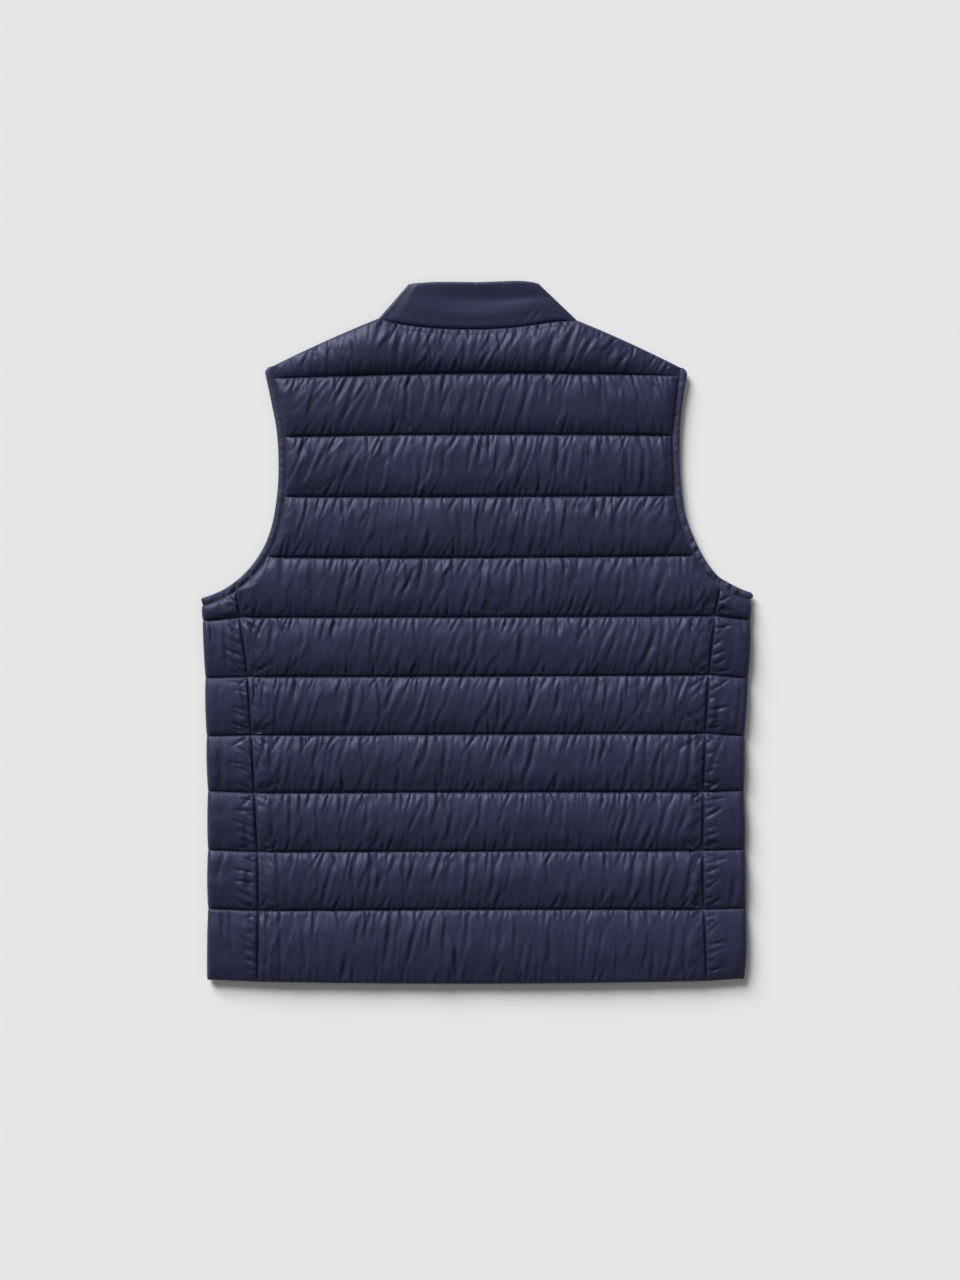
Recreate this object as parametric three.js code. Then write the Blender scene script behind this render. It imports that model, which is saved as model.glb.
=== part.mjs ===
// A lightweight quilted vest, laid flat on its front with its back upwards.
// Millimetres. x runs across the garment, y from the hem up to the collar, z up from the surface it lies on.
// The origin is on that surface, under the middle of the garment's box.
// Lower layer: two fronts, the zip between them and the collar's two ends.
// Upper layer: the back and the back of the collar.
// Side panels, armhole bindings and the collar turn from one layer to the other at the garment's edge.
import * as THREE from "three";

// Driving dimensions.
const PIECE_GAP = 0.3; // between two pieces at a seam
const LAYER_GAP = 0.6; // between the lower and the upper layer
const LOWER_THICKNESS = 5; // a front with its wadding, lying flat
const SEAM_THICKNESS = 2.2; // two cloths and wadding under a stitching line
const BACK_LOFT = 8.2; // rise of the back's channels above their stitching
const SIDE_LOFT = 6.6; // the same on the side panels, which are narrower
const FULL_LOFT_HEIGHT = 50; // a channel lower than this, as at the shoulders' tips, swells less
const EDGE_ROLL = 13; // how far in from a seam or a binding the loft is full
const HEM_EDGE_THICKNESS = 2.6; // the turned hem
const BINDING_WIDTH = 7.5;
const BINDING_THICKNESS = 3;
const COLLAR_THICKNESS = 5;
const FOLD_THICKNESS = 5; // wall at the fold of a side panel, on a stitching line
const FOLD_LOFT = 1.3; // how much further a channel reaches there
const FRONT_EDGE_ROUNDING = 1.8;
const FRONT_NECK_DROP = 80; // from the shoulder's neck point to the zip
const COLLAR_FRONT_HEIGHT = 47;
const ZIP_GAP = 12; // between the two fronts
const ZIP_TAPE_THICKNESS = 1.2;
const ZIP_CHAIN_WIDTH = 5.5;
const ZIP_CHAIN_THICKNESS = 1.8;
const ZIP_SLIDER = { width: 9, length: 11, thickness: 2.6, nose: 3 };

// Derived heights.
const MIDDLE_Z = LOWER_THICKNESS + LAYER_GAP / 2;
const UPPER_Z = LOWER_THICKNESS + LAYER_GAP;

// The body's widths, a row for each height: the folded edge of the side panel and its seam with the back.
const BODY_WIDTHS = [
  { y: -352, leftFold: -270, leftSeam: -218, rightSeam: 230.5, rightFold: 269 },
  { y: -310, leftFold: -269, leftSeam: -217.5, rightSeam: 229, rightFold: 271 },
  { y: -240, leftFold: -269, leftSeam: -217.5, rightSeam: 226.5, rightFold: 270.5 },
  { y: -160, leftFold: -269, leftSeam: -221, rightSeam: 227, rightFold: 269 },
  { y: -90, leftFold: -270.5, leftSeam: -225, rightSeam: 229.5, rightFold: 270 },
  { y: -30, leftFold: -272, leftSeam: -229.5, rightSeam: 233.5, rightFold: 274 },
  { y: 15, leftFold: -274.3, leftSeam: -236, rightSeam: 238.5, rightFold: 275.6 },
  { y: 46, leftFold: -276.2, leftSeam: -240.5, rightSeam: 243.5, rightFold: 275.8 },
];

// The hem and the ten lines of quilting, from the hem up: heights at the folds, the seams and in the middle.
const CHANNEL_LINES = [
  { leftFold: -347, left: -350.2, middle: -352.5, right: -350.8, rightFold: -346.5 },
  { leftFold: -275, left: -276.7, middle: -275.4, right: -275.4, rightFold: -274.5 },
  { leftFold: -216.2, left: -218, middle: -217.1, right: -216.8, rightFold: -215.8 },
  { leftFold: -157.5, left: -159, middle: -158.2, right: -158, rightFold: -157 },
  { leftFold: -102.2, left: -101.4, middle: -100.4, right: -99.6, rightFold: -102.2 },
  { leftFold: -44.3, left: -43, middle: -42.4, right: -41, rightFold: -44.3 },
  { leftFold: 13, left: 16.4, middle: 16.7, right: 17.8, rightFold: 14 },
  { left: 76.5, middle: 76, right: 78.2 },
  { left: 136.7, middle: 136.9, right: 138 },
  { left: 196.8, middle: 199.1, right: 197.9 },
  { left: 255, middle: 260.5, right: 257.5 },
];
const SIDE_LINES = 7; // how many of them cross the side panels

// The armhole's edge from the underarm up to the shoulder's tip.
const ARMHOLE = [
  { leftX: -273.4, leftY: 35.6, rightX: 273.2, rightY: 41.6 },
  { leftX: -263, leftY: 39.2, rightX: 265, rightY: 44.6 },
  { leftX: -249, leftY: 46, rightX: 253, rightY: 50.6 },
  { leftX: -233, leftY: 58.5, rightX: 241, rightY: 58.5 },
  { leftX: -219, leftY: 75, rightX: 228.5, rightY: 75 },
  { leftX: -208, leftY: 96, rightX: 217.5, rightY: 97 },
  { leftX: -201, leftY: 123, rightX: 208.5, rightY: 123 },
  { leftX: -197.5, leftY: 160, rightX: 204, rightY: 163 },
  { leftX: -199, leftY: 200, rightX: 204, rightY: 203 },
  { leftX: -205, leftY: 233, rightX: 207, rightY: 234 },
  { leftX: -210.6, leftY: 259.5, rightX: 211, rightY: 258.5 },
];

// The seam between the back and the collar, from the left shoulder's neck point to the right one.
const NECKLINE = [
  { x: -97.6, y: 314.6 },
  { x: -75, y: 309.3 },
  { x: -40, y: 305.2 },
  { x: 5, y: 304.2 },
  { x: 45, y: 306.8 },
  { x: 78, y: 311.6 },
  { x: 101.5, y: 312.6 },
];
const SHOULDER_TIPS = { leftX: -212, leftY: 262.5, rightX: 212, rightY: 261.5 };
const SHOULDER_BOW = 1.6; // rise of the shoulder's line above a straight one

// The collar's upper edge over the back, and the tops of its two folds.
const COLLAR_TOP = [
  { x: -66.8, y: 349.8 },
  { x: -39, y: 351.4 },
  { x: 4, y: 351.2 },
  { x: 44, y: 352.4 },
  { x: 61.5, y: 350.8 },
];

// Creases across the channels. Each channel has its own, uneven in place, length, lean and depth.
const CREASE = { spacing: 37, width: 5.2, depth: 2.1, lean: 17, shortest: 0.55 };
const SIDE_CREASE = { count: 2, width: 6, depth: 1.2, lean: -22 };

// Steps of the meshes.
const ROWS_IN_CHANNEL = [0, 0.09, 0.32, 0.66, 0.91];
const UNDERARM_CHANNEL = 6; // the one in which the side seams end
const CORNER_ROW = 0.46; // the row there that runs from one seam's upper end to the other's
const ROWS_AT_UNDERARM = [0, 0.09, 0.26, CORNER_ROW, 0.7, 0.91];
const ROWS_IN_SIDE_CHANNEL = [0, 0.1, 0.5, 0.9];
const BACK_COLUMNS = 52;
const EDGE_STEPS = [0, 0.004, 0.012, 0.026]; // shares of the back's width
const SIDE_ACROSS = [0, 0.05, 0.16, 0.32, 0.6, 0.88];
const TURN_STEPS = 4;
const COLLAR_HEIGHTS = [0, 0.07, 0.22, 0.5, 0.8, 0.93, 1];
const COLLAR_STEPS = 14; // over the back of the neck
const FRONT_NECK_STEPS = 10;
const BINDING_HEIGHTS = [0, 0.12, 0.45, 0.85, 1];

const FABRIC = { color: 0x2e3147, roughness: 0.5, metalness: 0 };
const BINDING_FABRIC = { color: 0x2b2e43, roughness: 0.65, metalness: 0 };
const TAPE_FABRIC = { color: 0x25283b, roughness: 0.8, metalness: 0 };
const ZIP_PLASTIC = { color: 0x20222f, roughness: 0.45, metalness: 0 };
const ZIP_METAL = { color: 0x4a4c55, roughness: 0.35, metalness: 0.8 };

const mix = (from, to, share) => from + (to - from) * share;
const clamp01 = (value) => Math.min(1, Math.max(0, value));

// A repeatable scatter from 0 to 1, so that creases are uneven and the same each time.
function scatter(seed) {
  const wave = Math.sin(seed * 12.9898 + 4.1414) * 43758.5453;
  return wave - Math.floor(wave);
}

// The smooth curve through a table's rows: column "to" where column "from" has the value "at".
function smoothColumn(rows, from, to, at) {
  const last = rows.length - 1;
  let i = 0;
  while (i < last - 1 && at > rows[i + 1][from]) i += 1;
  const slope = (k) => {
    const a = rows[Math.max(0, k - 1)];
    const b = rows[Math.min(last, k + 1)];
    return (b[to] - a[to]) / (b[from] - a[from]);
  };
  const span = rows[i + 1][from] - rows[i][from];
  const t = clamp01((at - rows[i][from]) / span);
  const rise = rows[i][to] * (1 + 2 * t) * (1 - t) ** 2 + rows[i + 1][to] * t * t * (3 - 2 * t);
  return rise + span * (slope(i) * t * (1 - t) ** 2 - slope(i + 1) * t * t * (1 - t));
}

// Straight-line lookup along a list of points whose "from" coordinate keeps rising.
function lookUp(points, from, to, at) {
  let i = 0;
  while (i < points.length - 2 && at > points[i + 1][from]) i += 1;
  const share = clamp01((at - points[i][from]) / (points[i + 1][from] - points[i][from]));
  return mix(points[i][to], points[i + 1][to], share);
}

// The heights of the rows of points in one channel, as shares of it.
function channelRows(channel) {
  return channel === UNDERARM_CHANNEL ? ROWS_AT_UNDERARM : ROWS_IN_CHANNEL;
}

// The side seam and the fold of the body at a height, on one side.
function seamAt(side, y) {
  return smoothColumn(BODY_WIDTHS, "y", side + "Seam", y);
}

function foldAxisAt(side, y) {
  const reach = LAYER_GAP / 2 + FOLD_THICKNESS + FOLD_LOFT;
  return smoothColumn(BODY_WIDTHS, "y", side + "Fold", y) - (side === "left" ? -reach : reach);
}

// The armhole's edge on one side as stops along it, from the underarm to the shoulder's tip.
// Each has its direction, the way towards the cloth, and "panel", the point where the panels end inside the
// binding. The stops are where the columns of the side panel and the rows of the back meet the binding.
function armholeStops(side) {
  const curve = new THREE.SplineCurve(
    ARMHOLE.map((row) => new THREE.Vector2(row[side + "X"], row[side + "Y"])),
  );
  const turn = side === "left" ? -1 : 1;
  const stopAt = (share) => {
    const along = curve.getTangentAt(share);
    const inward = new THREE.Vector2(-along.y, along.x).multiplyScalar(turn);
    const point = curve.getPointAt(share);
    const panel = point.clone().addScaledVector(inward, BINDING_WIDTH + PIECE_GAP);
    return { share, point, along, inward, panel };
  };
  const stopWhere = (reached) => {
    let low = 0;
    let high = 1;
    for (let step = 0; step < 40; step += 1) {
      const middle = (low + high) / 2;
      if (reached(stopAt(middle).panel)) high = middle;
      else low = middle;
    }
    return stopAt(high);
  };
  const acrossAt = ({ x, y }) => (x - seamAt(side, y)) / (foldAxisAt(side, y) - seamAt(side, y));
  const besideSide = [1, ...[...SIDE_ACROSS].reverse()].map((across) =>
    stopWhere((panel) => acrossAt(panel) <= across),
  );
  const corner = besideSide[besideSide.length - 1];
  const besideBack = [];
  for (let channel = UNDERARM_CHANNEL; channel < CHANNEL_LINES.length - 1; channel += 1) {
    for (const within of channelRows(channel)) {
      const y = mix(CHANNEL_LINES[channel][side], CHANNEL_LINES[channel + 1][side], within);
      if (y > corner.panel.y + 2) besideBack.push(stopWhere((panel) => panel.y >= y));
    }
  }
  besideBack.push(stopWhere((panel) => panel.y >= CHANNEL_LINES[CHANNEL_LINES.length - 1][side]));
  return { start: stopAt(0), besideSide, corner, besideBack, tip: stopAt(1) };
}

const ARMHOLES = { left: armholeStops("left"), right: armholeStops("right") };

// The edge of the back and of the front at a height: the side seam below, the armhole above.
function panelEdge(side, y) {
  const { corner, besideBack, tip } = ARMHOLES[side];
  const inset = side === "left" ? PIECE_GAP / 2 : -PIECE_GAP / 2;
  if (y <= corner.panel.y) return seamAt(side, y) + inset;
  const line = [corner, ...besideBack, tip].map(({ panel }) => panel);
  return lookUp(line, "y", "x", y);
}

// A line of quilting across the back, bowed through its height in the middle.
// share runs from 0 at the left to 1 at the right.
function lineHeight(line, share) {
  const bow = line.middle - (line.left + line.right) / 2;
  return mix(line.left, line.right, share) + bow * 4 * share * (1 - share);
}

// The shoulder's line from the neck point out to the tip, at a place x across.
function shoulderHeight(side, x) {
  const neck = side === "left" ? NECKLINE[0] : NECKLINE[NECKLINE.length - 1];
  const share = (x - neck.x) / (SHOULDER_TIPS[side + "X"] - neck.x);
  return mix(neck.y, SHOULDER_TIPS[side + "Y"], share) + SHOULDER_BOW * 4 * share * (1 - share);
}

// The upper edge of the back: shoulder, neckline, shoulder.
function backTop(x) {
  if (x < NECKLINE[0].x) return shoulderHeight("left", x);
  if (x > NECKLINE[NECKLINE.length - 1].x) return shoulderHeight("right", x);
  return smoothColumn(NECKLINE, "x", "y", x) - PIECE_GAP;
}

// The round section of a filled channel, from 0 at one stitching line through 1 to 0 at the next.
function channelRise(share) {
  return Math.sqrt(clamp01(1 - (2 * share - 1) ** 2));
}

// How the filling swells away from a side seam or a binding.
function edgeRise(distance) {
  return Math.sqrt(clamp01(1 - (1 - clamp01(distance / EDGE_ROLL)) ** 2));
}

const BACK_WIDTH = panelEdge("right", 0) - panelEdge("left", 0);

// Depth of the creases of one channel of the back, at x and at a share of the channel's height.
function creaseDepth(channel, x, share) {
  const count = Math.round(BACK_WIDTH / CREASE.spacing);
  let depth = 0;
  for (let k = 0; k < count; k += 1) {
    const random = (n) => scatter(channel * 57 + k * 5 + n);
    const middle = panelEdge("left", 0) + CREASE.spacing * (k + 0.15 + 0.7 * random(0));
    const lean = CREASE.lean * (random(1) < 0.8 ? 1 : -0.8) * (0.5 + random(2));
    const length = mix(CREASE.shortest, 1, random(3));
    const from = random(4) < 0.5 ? share : 1 - share;
    const fade = clamp01((length - from) / 0.25) * Math.sqrt(channelRise(share));
    const across = (x - middle - lean * (share - 0.5)) / CREASE.width;
    depth += CREASE.depth * (0.5 + 0.5 * random(2)) * fade * Math.exp(-across * across);
  }
  return Math.min(depth, CREASE.depth);
}

// A geometry from points and triangles that close on themselves, turned so that its faces point out.
function closedGeometry(points, triangles) {
  let volume = 0;
  for (const [a, b, c] of triangles) {
    volume += points[a].dot(new THREE.Vector3().crossVectors(points[b], points[c]));
  }
  const facing = volume < 0 ? triangles.map(([a, b, c]) => [a, c, b]) : triangles;
  const geometry = new THREE.BufferGeometry().setFromPoints(points);
  geometry.setIndex(facing.flat());
  geometry.computeVertexNormals();
  return geometry;
}

// A skin through rings of points, closed at its two ends or joined end to end.
function loft(rings, joined) {
  const size = rings[0].length;
  const triangles = [];
  const quad = (a, b, c, d) => triangles.push([a, b, c], [a, c, d]);
  const last = joined ? rings.length : rings.length - 1;
  for (let r = 0; r < last; r += 1) {
    const next = (r + 1) % rings.length;
    for (let i = 0; i < size; i += 1) {
      const j = (i + 1) % size;
      quad(r * size + i, r * size + j, next * size + j, next * size + i);
    }
  }
  const cap = (start, turned) => {
    for (let i = 0; i < size / 2 - 1; i += 1) {
      const corners = [start + i, start + size - 1 - i, start + size - 2 - i, start + i + 1];
      if (turned) corners.reverse();
      quad(...corners);
    }
  };
  if (!joined) {
    cap(0, false);
    cap((rings.length - 1) * size, true);
  }
  return closedGeometry(rings.flat(), triangles);
}

// A wall of cloth that turns from one layer to the other. Each section is a line across the wall: at(h) gives
// its points in plan, its angle is 90 degrees on the upper layer and -90 on the lower one, "out" is the way in
// which it passes over a fold, and thickness(h) is the wall's.
function turnedWall(sections, heights, joined) {
  const rings = sections.map(({ at, angle, out, thickness }) => {
    const radians = THREE.MathUtils.degToRad(angle);
    const point = (h, offset) => {
      const plan = at(h);
      const reach = (LAYER_GAP / 2 + offset) * Math.cos(radians);
      const z = MIDDLE_Z + (LAYER_GAP / 2 + offset) * Math.sin(radians);
      return new THREE.Vector3(plan.x + out.x * reach, plan.y + out.y * reach, z);
    };
    const outer = heights.map((h) => point(h, thickness(h)));
    const inner = heights.map((h) => point(h, 0)).reverse();
    return [...outer, ...inner];
  });
  return loft(rings, joined);
}

// The angles that a wall takes over a fold, from the upper layer down to the lower one, ends left out.
const TURN_ANGLES = Array.from({ length: TURN_STEPS }, (_, i) => 90 - (180 * (i + 1)) / (TURN_STEPS + 1));

// The back: one wall, plain inside, its channels raised outside.
function makeBack() {
  const tip = { left: ARMHOLES.left.tip.panel.x, right: ARMHOLES.right.tip.panel.x };
  const shares = [];
  for (let i = 0; i <= BACK_COLUMNS; i += 1) shares.push(i / BACK_COLUMNS);
  for (const corner of [NECKLINE[0].x, NECKLINE[NECKLINE.length - 1].x]) {
    const share = (corner - tip.left) / (tip.right - tip.left);
    shares[Math.round(share * BACK_COLUMNS)] = share;
  }
  EDGE_STEPS.forEach((step, i) => {
    shares[i] = step;
    shares[BACK_COLUMNS - i] = 1 - step;
  });

  const channels = CHANNEL_LINES.length;
  const pointAt = (channel, across, within) => {
    const lower = lineHeight(CHANNEL_LINES[channel], across);
    if (channel < channels - 1) {
      let y = mix(lower, lineHeight(CHANNEL_LINES[channel + 1], across), within);
      if (channel === UNDERARM_CHANNEL && within === CORNER_ROW) {
        y = mix(ARMHOLES.left.corner.panel.y, ARMHOLES.right.corner.panel.y, across);
      }
      return { x: mix(panelEdge("left", y), panelEdge("right", y), across), y };
    }
    const below = mix(panelEdge("left", lower), panelEdge("right", lower), across);
    const above = mix(tip.left, tip.right, across);
    return { x: mix(below, above, within), y: mix(lower, backTop(above), within) };
  };
  const rise = (channel, across, within, x) => {
    const edge = edgeRise(Math.min(across, 1 - across) * BACK_WIDTH);
    const low = pointAt(channel, across, 0).y;
    const room = Math.sqrt(clamp01((pointAt(channel, across, 1).y - low) / FULL_LOFT_HEIGHT));
    const loftHere = BACK_LOFT * channelRise(within) * edge * room;
    const base = channel === 0 && within === 0 ? HEM_EDGE_THICKNESS : SEAM_THICKNESS;
    return base + Math.max(0, loftHere - creaseDepth(channel, x, within) * edge);
  };

  const rows = [];
  for (let channel = 0; channel < channels; channel += 1) {
    for (const within of channelRows(channel)) rows.push({ channel, within });
  }
  rows.push({ channel: channels - 1, within: 1 });
  const grid = rows.map(({ channel, within }) =>
    shares.map((across) => {
      const { x, y } = pointAt(channel, across, within);
      return new THREE.Vector3(x, y, UPPER_Z + rise(channel, across, within, x));
    }),
  );
  return raisedPanel(grid);
}

// A panel with a flat inner face at the bottom of the upper layer, under a grid of outer points.
function raisedPanel(grid) {
  const columns = grid[0].length;
  const points = grid.flat();
  const triangles = [];
  for (let r = 0; r < grid.length - 1; r += 1) {
    for (let c = 0; c < columns - 1; c += 1) {
      const a = r * columns + c;
      triangles.push([a, a + 1, a + columns + 1], [a, a + columns + 1, a + columns]);
    }
  }
  const border = [];
  for (let c = 0; c < columns; c += 1) border.push(c);
  for (let r = 1; r < grid.length; r += 1) border.push(r * columns + columns - 1);
  for (let c = columns - 2; c >= 0; c -= 1) border.push((grid.length - 1) * columns + c);
  for (let r = grid.length - 2; r > 0; r -= 1) border.push(r * columns);

  const first = points.length;
  for (const i of border) points.push(new THREE.Vector3(points[i].x, points[i].y, UPPER_Z));
  border.forEach((above, i) => {
    const j = (i + 1) % border.length;
    triangles.push([above, first + i, first + j], [above, first + j, border[j]]);
  });
  const plan = border.map((i) => new THREE.Vector2(points[i].x, points[i].y));
  for (const [a, b, c] of THREE.ShapeUtils.triangulateShape(plan, [])) {
    triangles.push([first + a, first + c, first + b]);
  }
  return closedGeometry(points, triangles);
}

// A side panel: from its seam with the back, round the folded edge, to its seam with the front.
function makeSide(side) {
  const outward = side === "left" ? -1 : 1;
  const levels = [];
  for (let channel = 0; channel < SIDE_LINES; channel += 1) {
    for (const within of ROWS_IN_SIDE_CHANNEL) levels.push({ channel, within });
  }
  levels.push({ channel: SIDE_LINES - 1, within: 1 });

  // The panel's upper edge follows the binding, also where it goes on past the fold's axis.
  const { start, besideSide } = ARMHOLES[side];
  const beyond = start.panel.clone().addScaledVector(start.along, -20);
  const upperEdge = [beyond, start.panel, ...besideSide.map(({ panel }) => panel)];
  if (side === "right") upperEdge.reverse();

  const seamX = (y) => seamAt(side, y) + (outward * PIECE_GAP) / 2;
  const xAt = (y, across) => mix(seamX(y), foldAxisAt(side, y), across);
  const lineY = (i, across) => mix(CHANNEL_LINES[i][side], CHANNEL_LINES[i][side + "Fold"], across);
  const planAt = (index, across, past) => {
    const { channel, within } = levels[index];
    const lower = lineY(channel, across);
    let upper = 0;
    if (channel + 1 < SIDE_LINES) upper = lineY(channel + 1, across);
    else if (across < 1) upper = besideSide[besideSide.length - 1 - SIDE_ACROSS.indexOf(across)].panel.y;
    else upper = lookUp(upperEdge, "x", "y", besideSide[0].panel.x + past);
    const y = mix(lower, upper, within);
    return new THREE.Vector2(xAt(y, across), y);
  };
  const section = (across, angle) => {
    const radians = THREE.MathUtils.degToRad(angle);
    const turned = Math.sin(radians) ** 2;
    return {
      at: (index) => planAt(index, across, outward * 6 * Math.cos(radians)),
      angle,
      out: new THREE.Vector2(outward, 0),
      thickness: (index) => {
        const { channel, within } = levels[index];
        const swell = channelRise(within);
        const fold = FOLD_THICKNESS + FOLD_LOFT * swell;
        if (angle < 0) return mix(fold, LOWER_THICKNESS, turned);
        const width = Math.abs(foldAxisAt(side, 0) - seamX(0));
        const crease = sideCrease(channel, across * width, within) * edgeRise((1 - across) * width);
        const top = SEAM_THICKNESS + Math.max(0, SIDE_LOFT * swell * edgeRise(across * width) - crease);
        return mix(fold, top, turned);
      },
    };
  };
  const sections = [
    ...SIDE_ACROSS.map((across) => section(across, 90)),
    section(1, 90),
    ...TURN_ANGLES.map((angle) => section(1, angle)),
    section(1, -90),
    ...[...SIDE_ACROSS].reverse().map((across) => section(across, -90)),
  ];
  return turnedWall(sections, levels.map((_, index) => index), false);
}

// The short creases that run out from the side panel's seam.
function sideCrease(channel, distance, within) {
  let depth = 0;
  for (let k = 0; k < SIDE_CREASE.count; k += 1) {
    const at = (k + 0.3 + 0.5 * scatter(channel * 11 + k)) / SIDE_CREASE.count;
    const along = (within - at) * 58 - (SIDE_CREASE.lean * distance) / 45;
    const fade = clamp01(1.5 - distance / 28) * channelRise(within);
    depth += SIDE_CREASE.depth * fade * Math.exp(-((along / SIDE_CREASE.width) ** 2));
  }
  return depth;
}

// An armhole's binding: along the back, over the shoulder's tip, along the front and over the underarm.
function makeBinding(side) {
  const { start, besideSide, besideBack, tip } = ARMHOLES[side];
  const edge = [start, ...besideSide, ...besideBack, tip];
  const profile = (h) => {
    const round = Math.sqrt(clamp01(1 - (1 - clamp01(h / 0.4)) ** 2));
    return mix(1, BINDING_THICKNESS, round) - 0.8 * clamp01((h - 0.6) / 0.4);
  };
  const section = (stop, angle, sign) => ({
    at: (h) => stop.point.clone().addScaledVector(stop.inward, h * BINDING_WIDTH),
    angle,
    out: stop.along.clone().multiplyScalar(sign),
    thickness: profile,
  });
  const sections = [
    ...edge.map((stop) => section(stop, 90, 1)),
    ...TURN_ANGLES.map((angle) => section(tip, angle, 1)),
    ...[...edge].reverse().map((stop) => section(stop, -90, 1)),
    ...[...TURN_ANGLES].reverse().map((angle) => section(start, angle, -1)),
  ];
  return turnedWall(sections, BINDING_HEIGHTS, true);
}

// The front's neckline on one side, a quarter of an ellipse from the zip up to the shoulder's neck point,
// moved into the neck by an inset.
function frontNeckline(side, inset) {
  const sign = side === "left" ? -1 : 1;
  const neck = side === "left" ? NECKLINE[0] : NECKLINE[NECKLINE.length - 1];
  const zipX = (sign * ZIP_GAP) / 2;
  const reach = new THREE.Vector2(neck.x - zipX, FRONT_NECK_DROP);
  return Array.from({ length: FRONT_NECK_STEPS + 1 }, (_, i) => {
    const angle = ((1 - i / FRONT_NECK_STEPS) * Math.PI) / 2;
    const away = new THREE.Vector2(Math.cos(angle) / reach.x, -Math.sin(angle) / reach.y).normalize();
    const x = zipX + reach.x * Math.cos(angle) - away.x * inset;
    return new THREE.Vector2(x, neck.y - reach.y * Math.sin(angle) - away.y * inset);
  });
}

// The collar: from one side of the zip round the back of the neck to the other, laid double.
function makeCollar() {
  const thickness = (h) => {
    const low = clamp01(h / 0.25);
    const high = clamp01((1 - h) / 0.2);
    return mix(SEAM_THICKNESS, COLLAR_THICKNESS, Math.sqrt(1 - (1 - low) ** 2)) * mix(0.35, 1, Math.sqrt(high));
  };
  const folds = {};
  for (const side of ["left", "right"]) {
    const neck = side === "left" ? NECKLINE[0] : NECKLINE[NECKLINE.length - 1];
    const top = side === "left" ? COLLAR_TOP[0] : COLLAR_TOP[COLLAR_TOP.length - 1];
    const low = new THREE.Vector2(neck.x, neck.y);
    const high = new THREE.Vector2(top.x, top.y);
    const along = high.clone().sub(low).normalize();
    const out = side === "left" ? new THREE.Vector2(-along.y, along.x) : new THREE.Vector2(along.y, -along.x);
    low.addScaledVector(out, -LAYER_GAP / 2 - SEAM_THICKNESS);
    const seam = smoothColumn(NECKLINE, "x", "y", low.x) + PIECE_GAP;
    low.addScaledVector(along, (seam - low.y) / along.y);
    high.addScaledVector(out, -0.6 * COLLAR_THICKNESS).addScaledVector(along, -1.5);
    folds[side] = { low, high, out };
  }
  const section = (low, high, angle, out) => ({
    at: (h) => low.clone().lerp(high, h),
    angle,
    out,
    thickness,
  });
  const still = new THREE.Vector2(0, 1);

  // The end over one front, from the zip to the fold.
  const frontEnd = (side) => {
    const neckline = frontNeckline(side, PIECE_GAP).slice(0, -1);
    const fold = folds[side];
    const zipTop = new THREE.Vector2(neckline[0].x, neckline[0].y + COLLAR_FRONT_HEIGHT);
    return neckline.map((low, i) => {
      const share = i / neckline.length;
      const high = zipTop.clone().lerp(fold.high, share);
      high.y -= 9 * Math.sin(Math.PI * share);
      return section(low, high, -90, still);
    });
  };
  // The back of the neck, from fold to fold.
  const upperEdge = [folds.left.high, ...COLLAR_TOP.slice(1, -1), folds.right.high];
  const back = [];
  for (let i = 1; i < COLLAR_STEPS; i += 1) {
    const share = i / COLLAR_STEPS;
    const lowX = mix(folds.left.low.x, folds.right.low.x, share);
    const highX = mix(folds.left.high.x, folds.right.high.x, share);
    const low = new THREE.Vector2(lowX, smoothColumn(NECKLINE, "x", "y", lowX) + PIECE_GAP / 2);
    const high = new THREE.Vector2(highX, smoothColumn(upperEdge, "x", "y", highX));
    back.push(section(low, high, 90, still));
  }
  const { left, right } = folds;
  const sections = [
    ...frontEnd("left"),
    section(left.low, left.high, -90, left.out),
    ...[...TURN_ANGLES].reverse().map((angle) => section(left.low, left.high, angle, left.out)),
    section(left.low, left.high, 90, left.out),
    ...back,
    section(right.low, right.high, 90, right.out),
    ...TURN_ANGLES.map((angle) => section(right.low, right.high, angle, right.out)),
    section(right.low, right.high, -90, right.out),
    ...frontEnd("right").reverse(),
  ];
  return turnedWall(sections, COLLAR_HEIGHTS, false);
}

// A front: a flat panel on the surface, its lower edge rounded off all round.
function makeFront(side) {
  const zipX = side === "left" ? -ZIP_GAP / 2 : ZIP_GAP / 2;
  const hem = CHANNEL_LINES[0];
  const outline = [new THREE.Vector2(zipX, hem.middle)];
  for (const share of [0.4, 0.75]) {
    const x = mix(zipX, panelEdge(side, hem[side]), share);
    outline.push(new THREE.Vector2(x, mix(hem.middle, hem[side], share ** 2)));
  }
  const { corner, besideBack, tip } = ARMHOLES[side];
  for (let channel = 0; channel < SIDE_LINES; channel += 1) {
    const above = channel + 1 < SIDE_LINES ? CHANNEL_LINES[channel + 1][side] : corner.panel.y;
    for (const within of ROWS_IN_SIDE_CHANNEL) {
      const y = mix(CHANNEL_LINES[channel][side], above, within);
      outline.push(new THREE.Vector2(panelEdge(side, y), y));
    }
  }
  outline.push(...[corner, ...besideBack].map(({ panel }) => panel));
  outline.push(new THREE.Vector2(tip.panel.x, shoulderHeight(side, tip.panel.x)));
  outline.push(...frontNeckline(side, 0).reverse());
  return flatPanel(outline);
}

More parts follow.
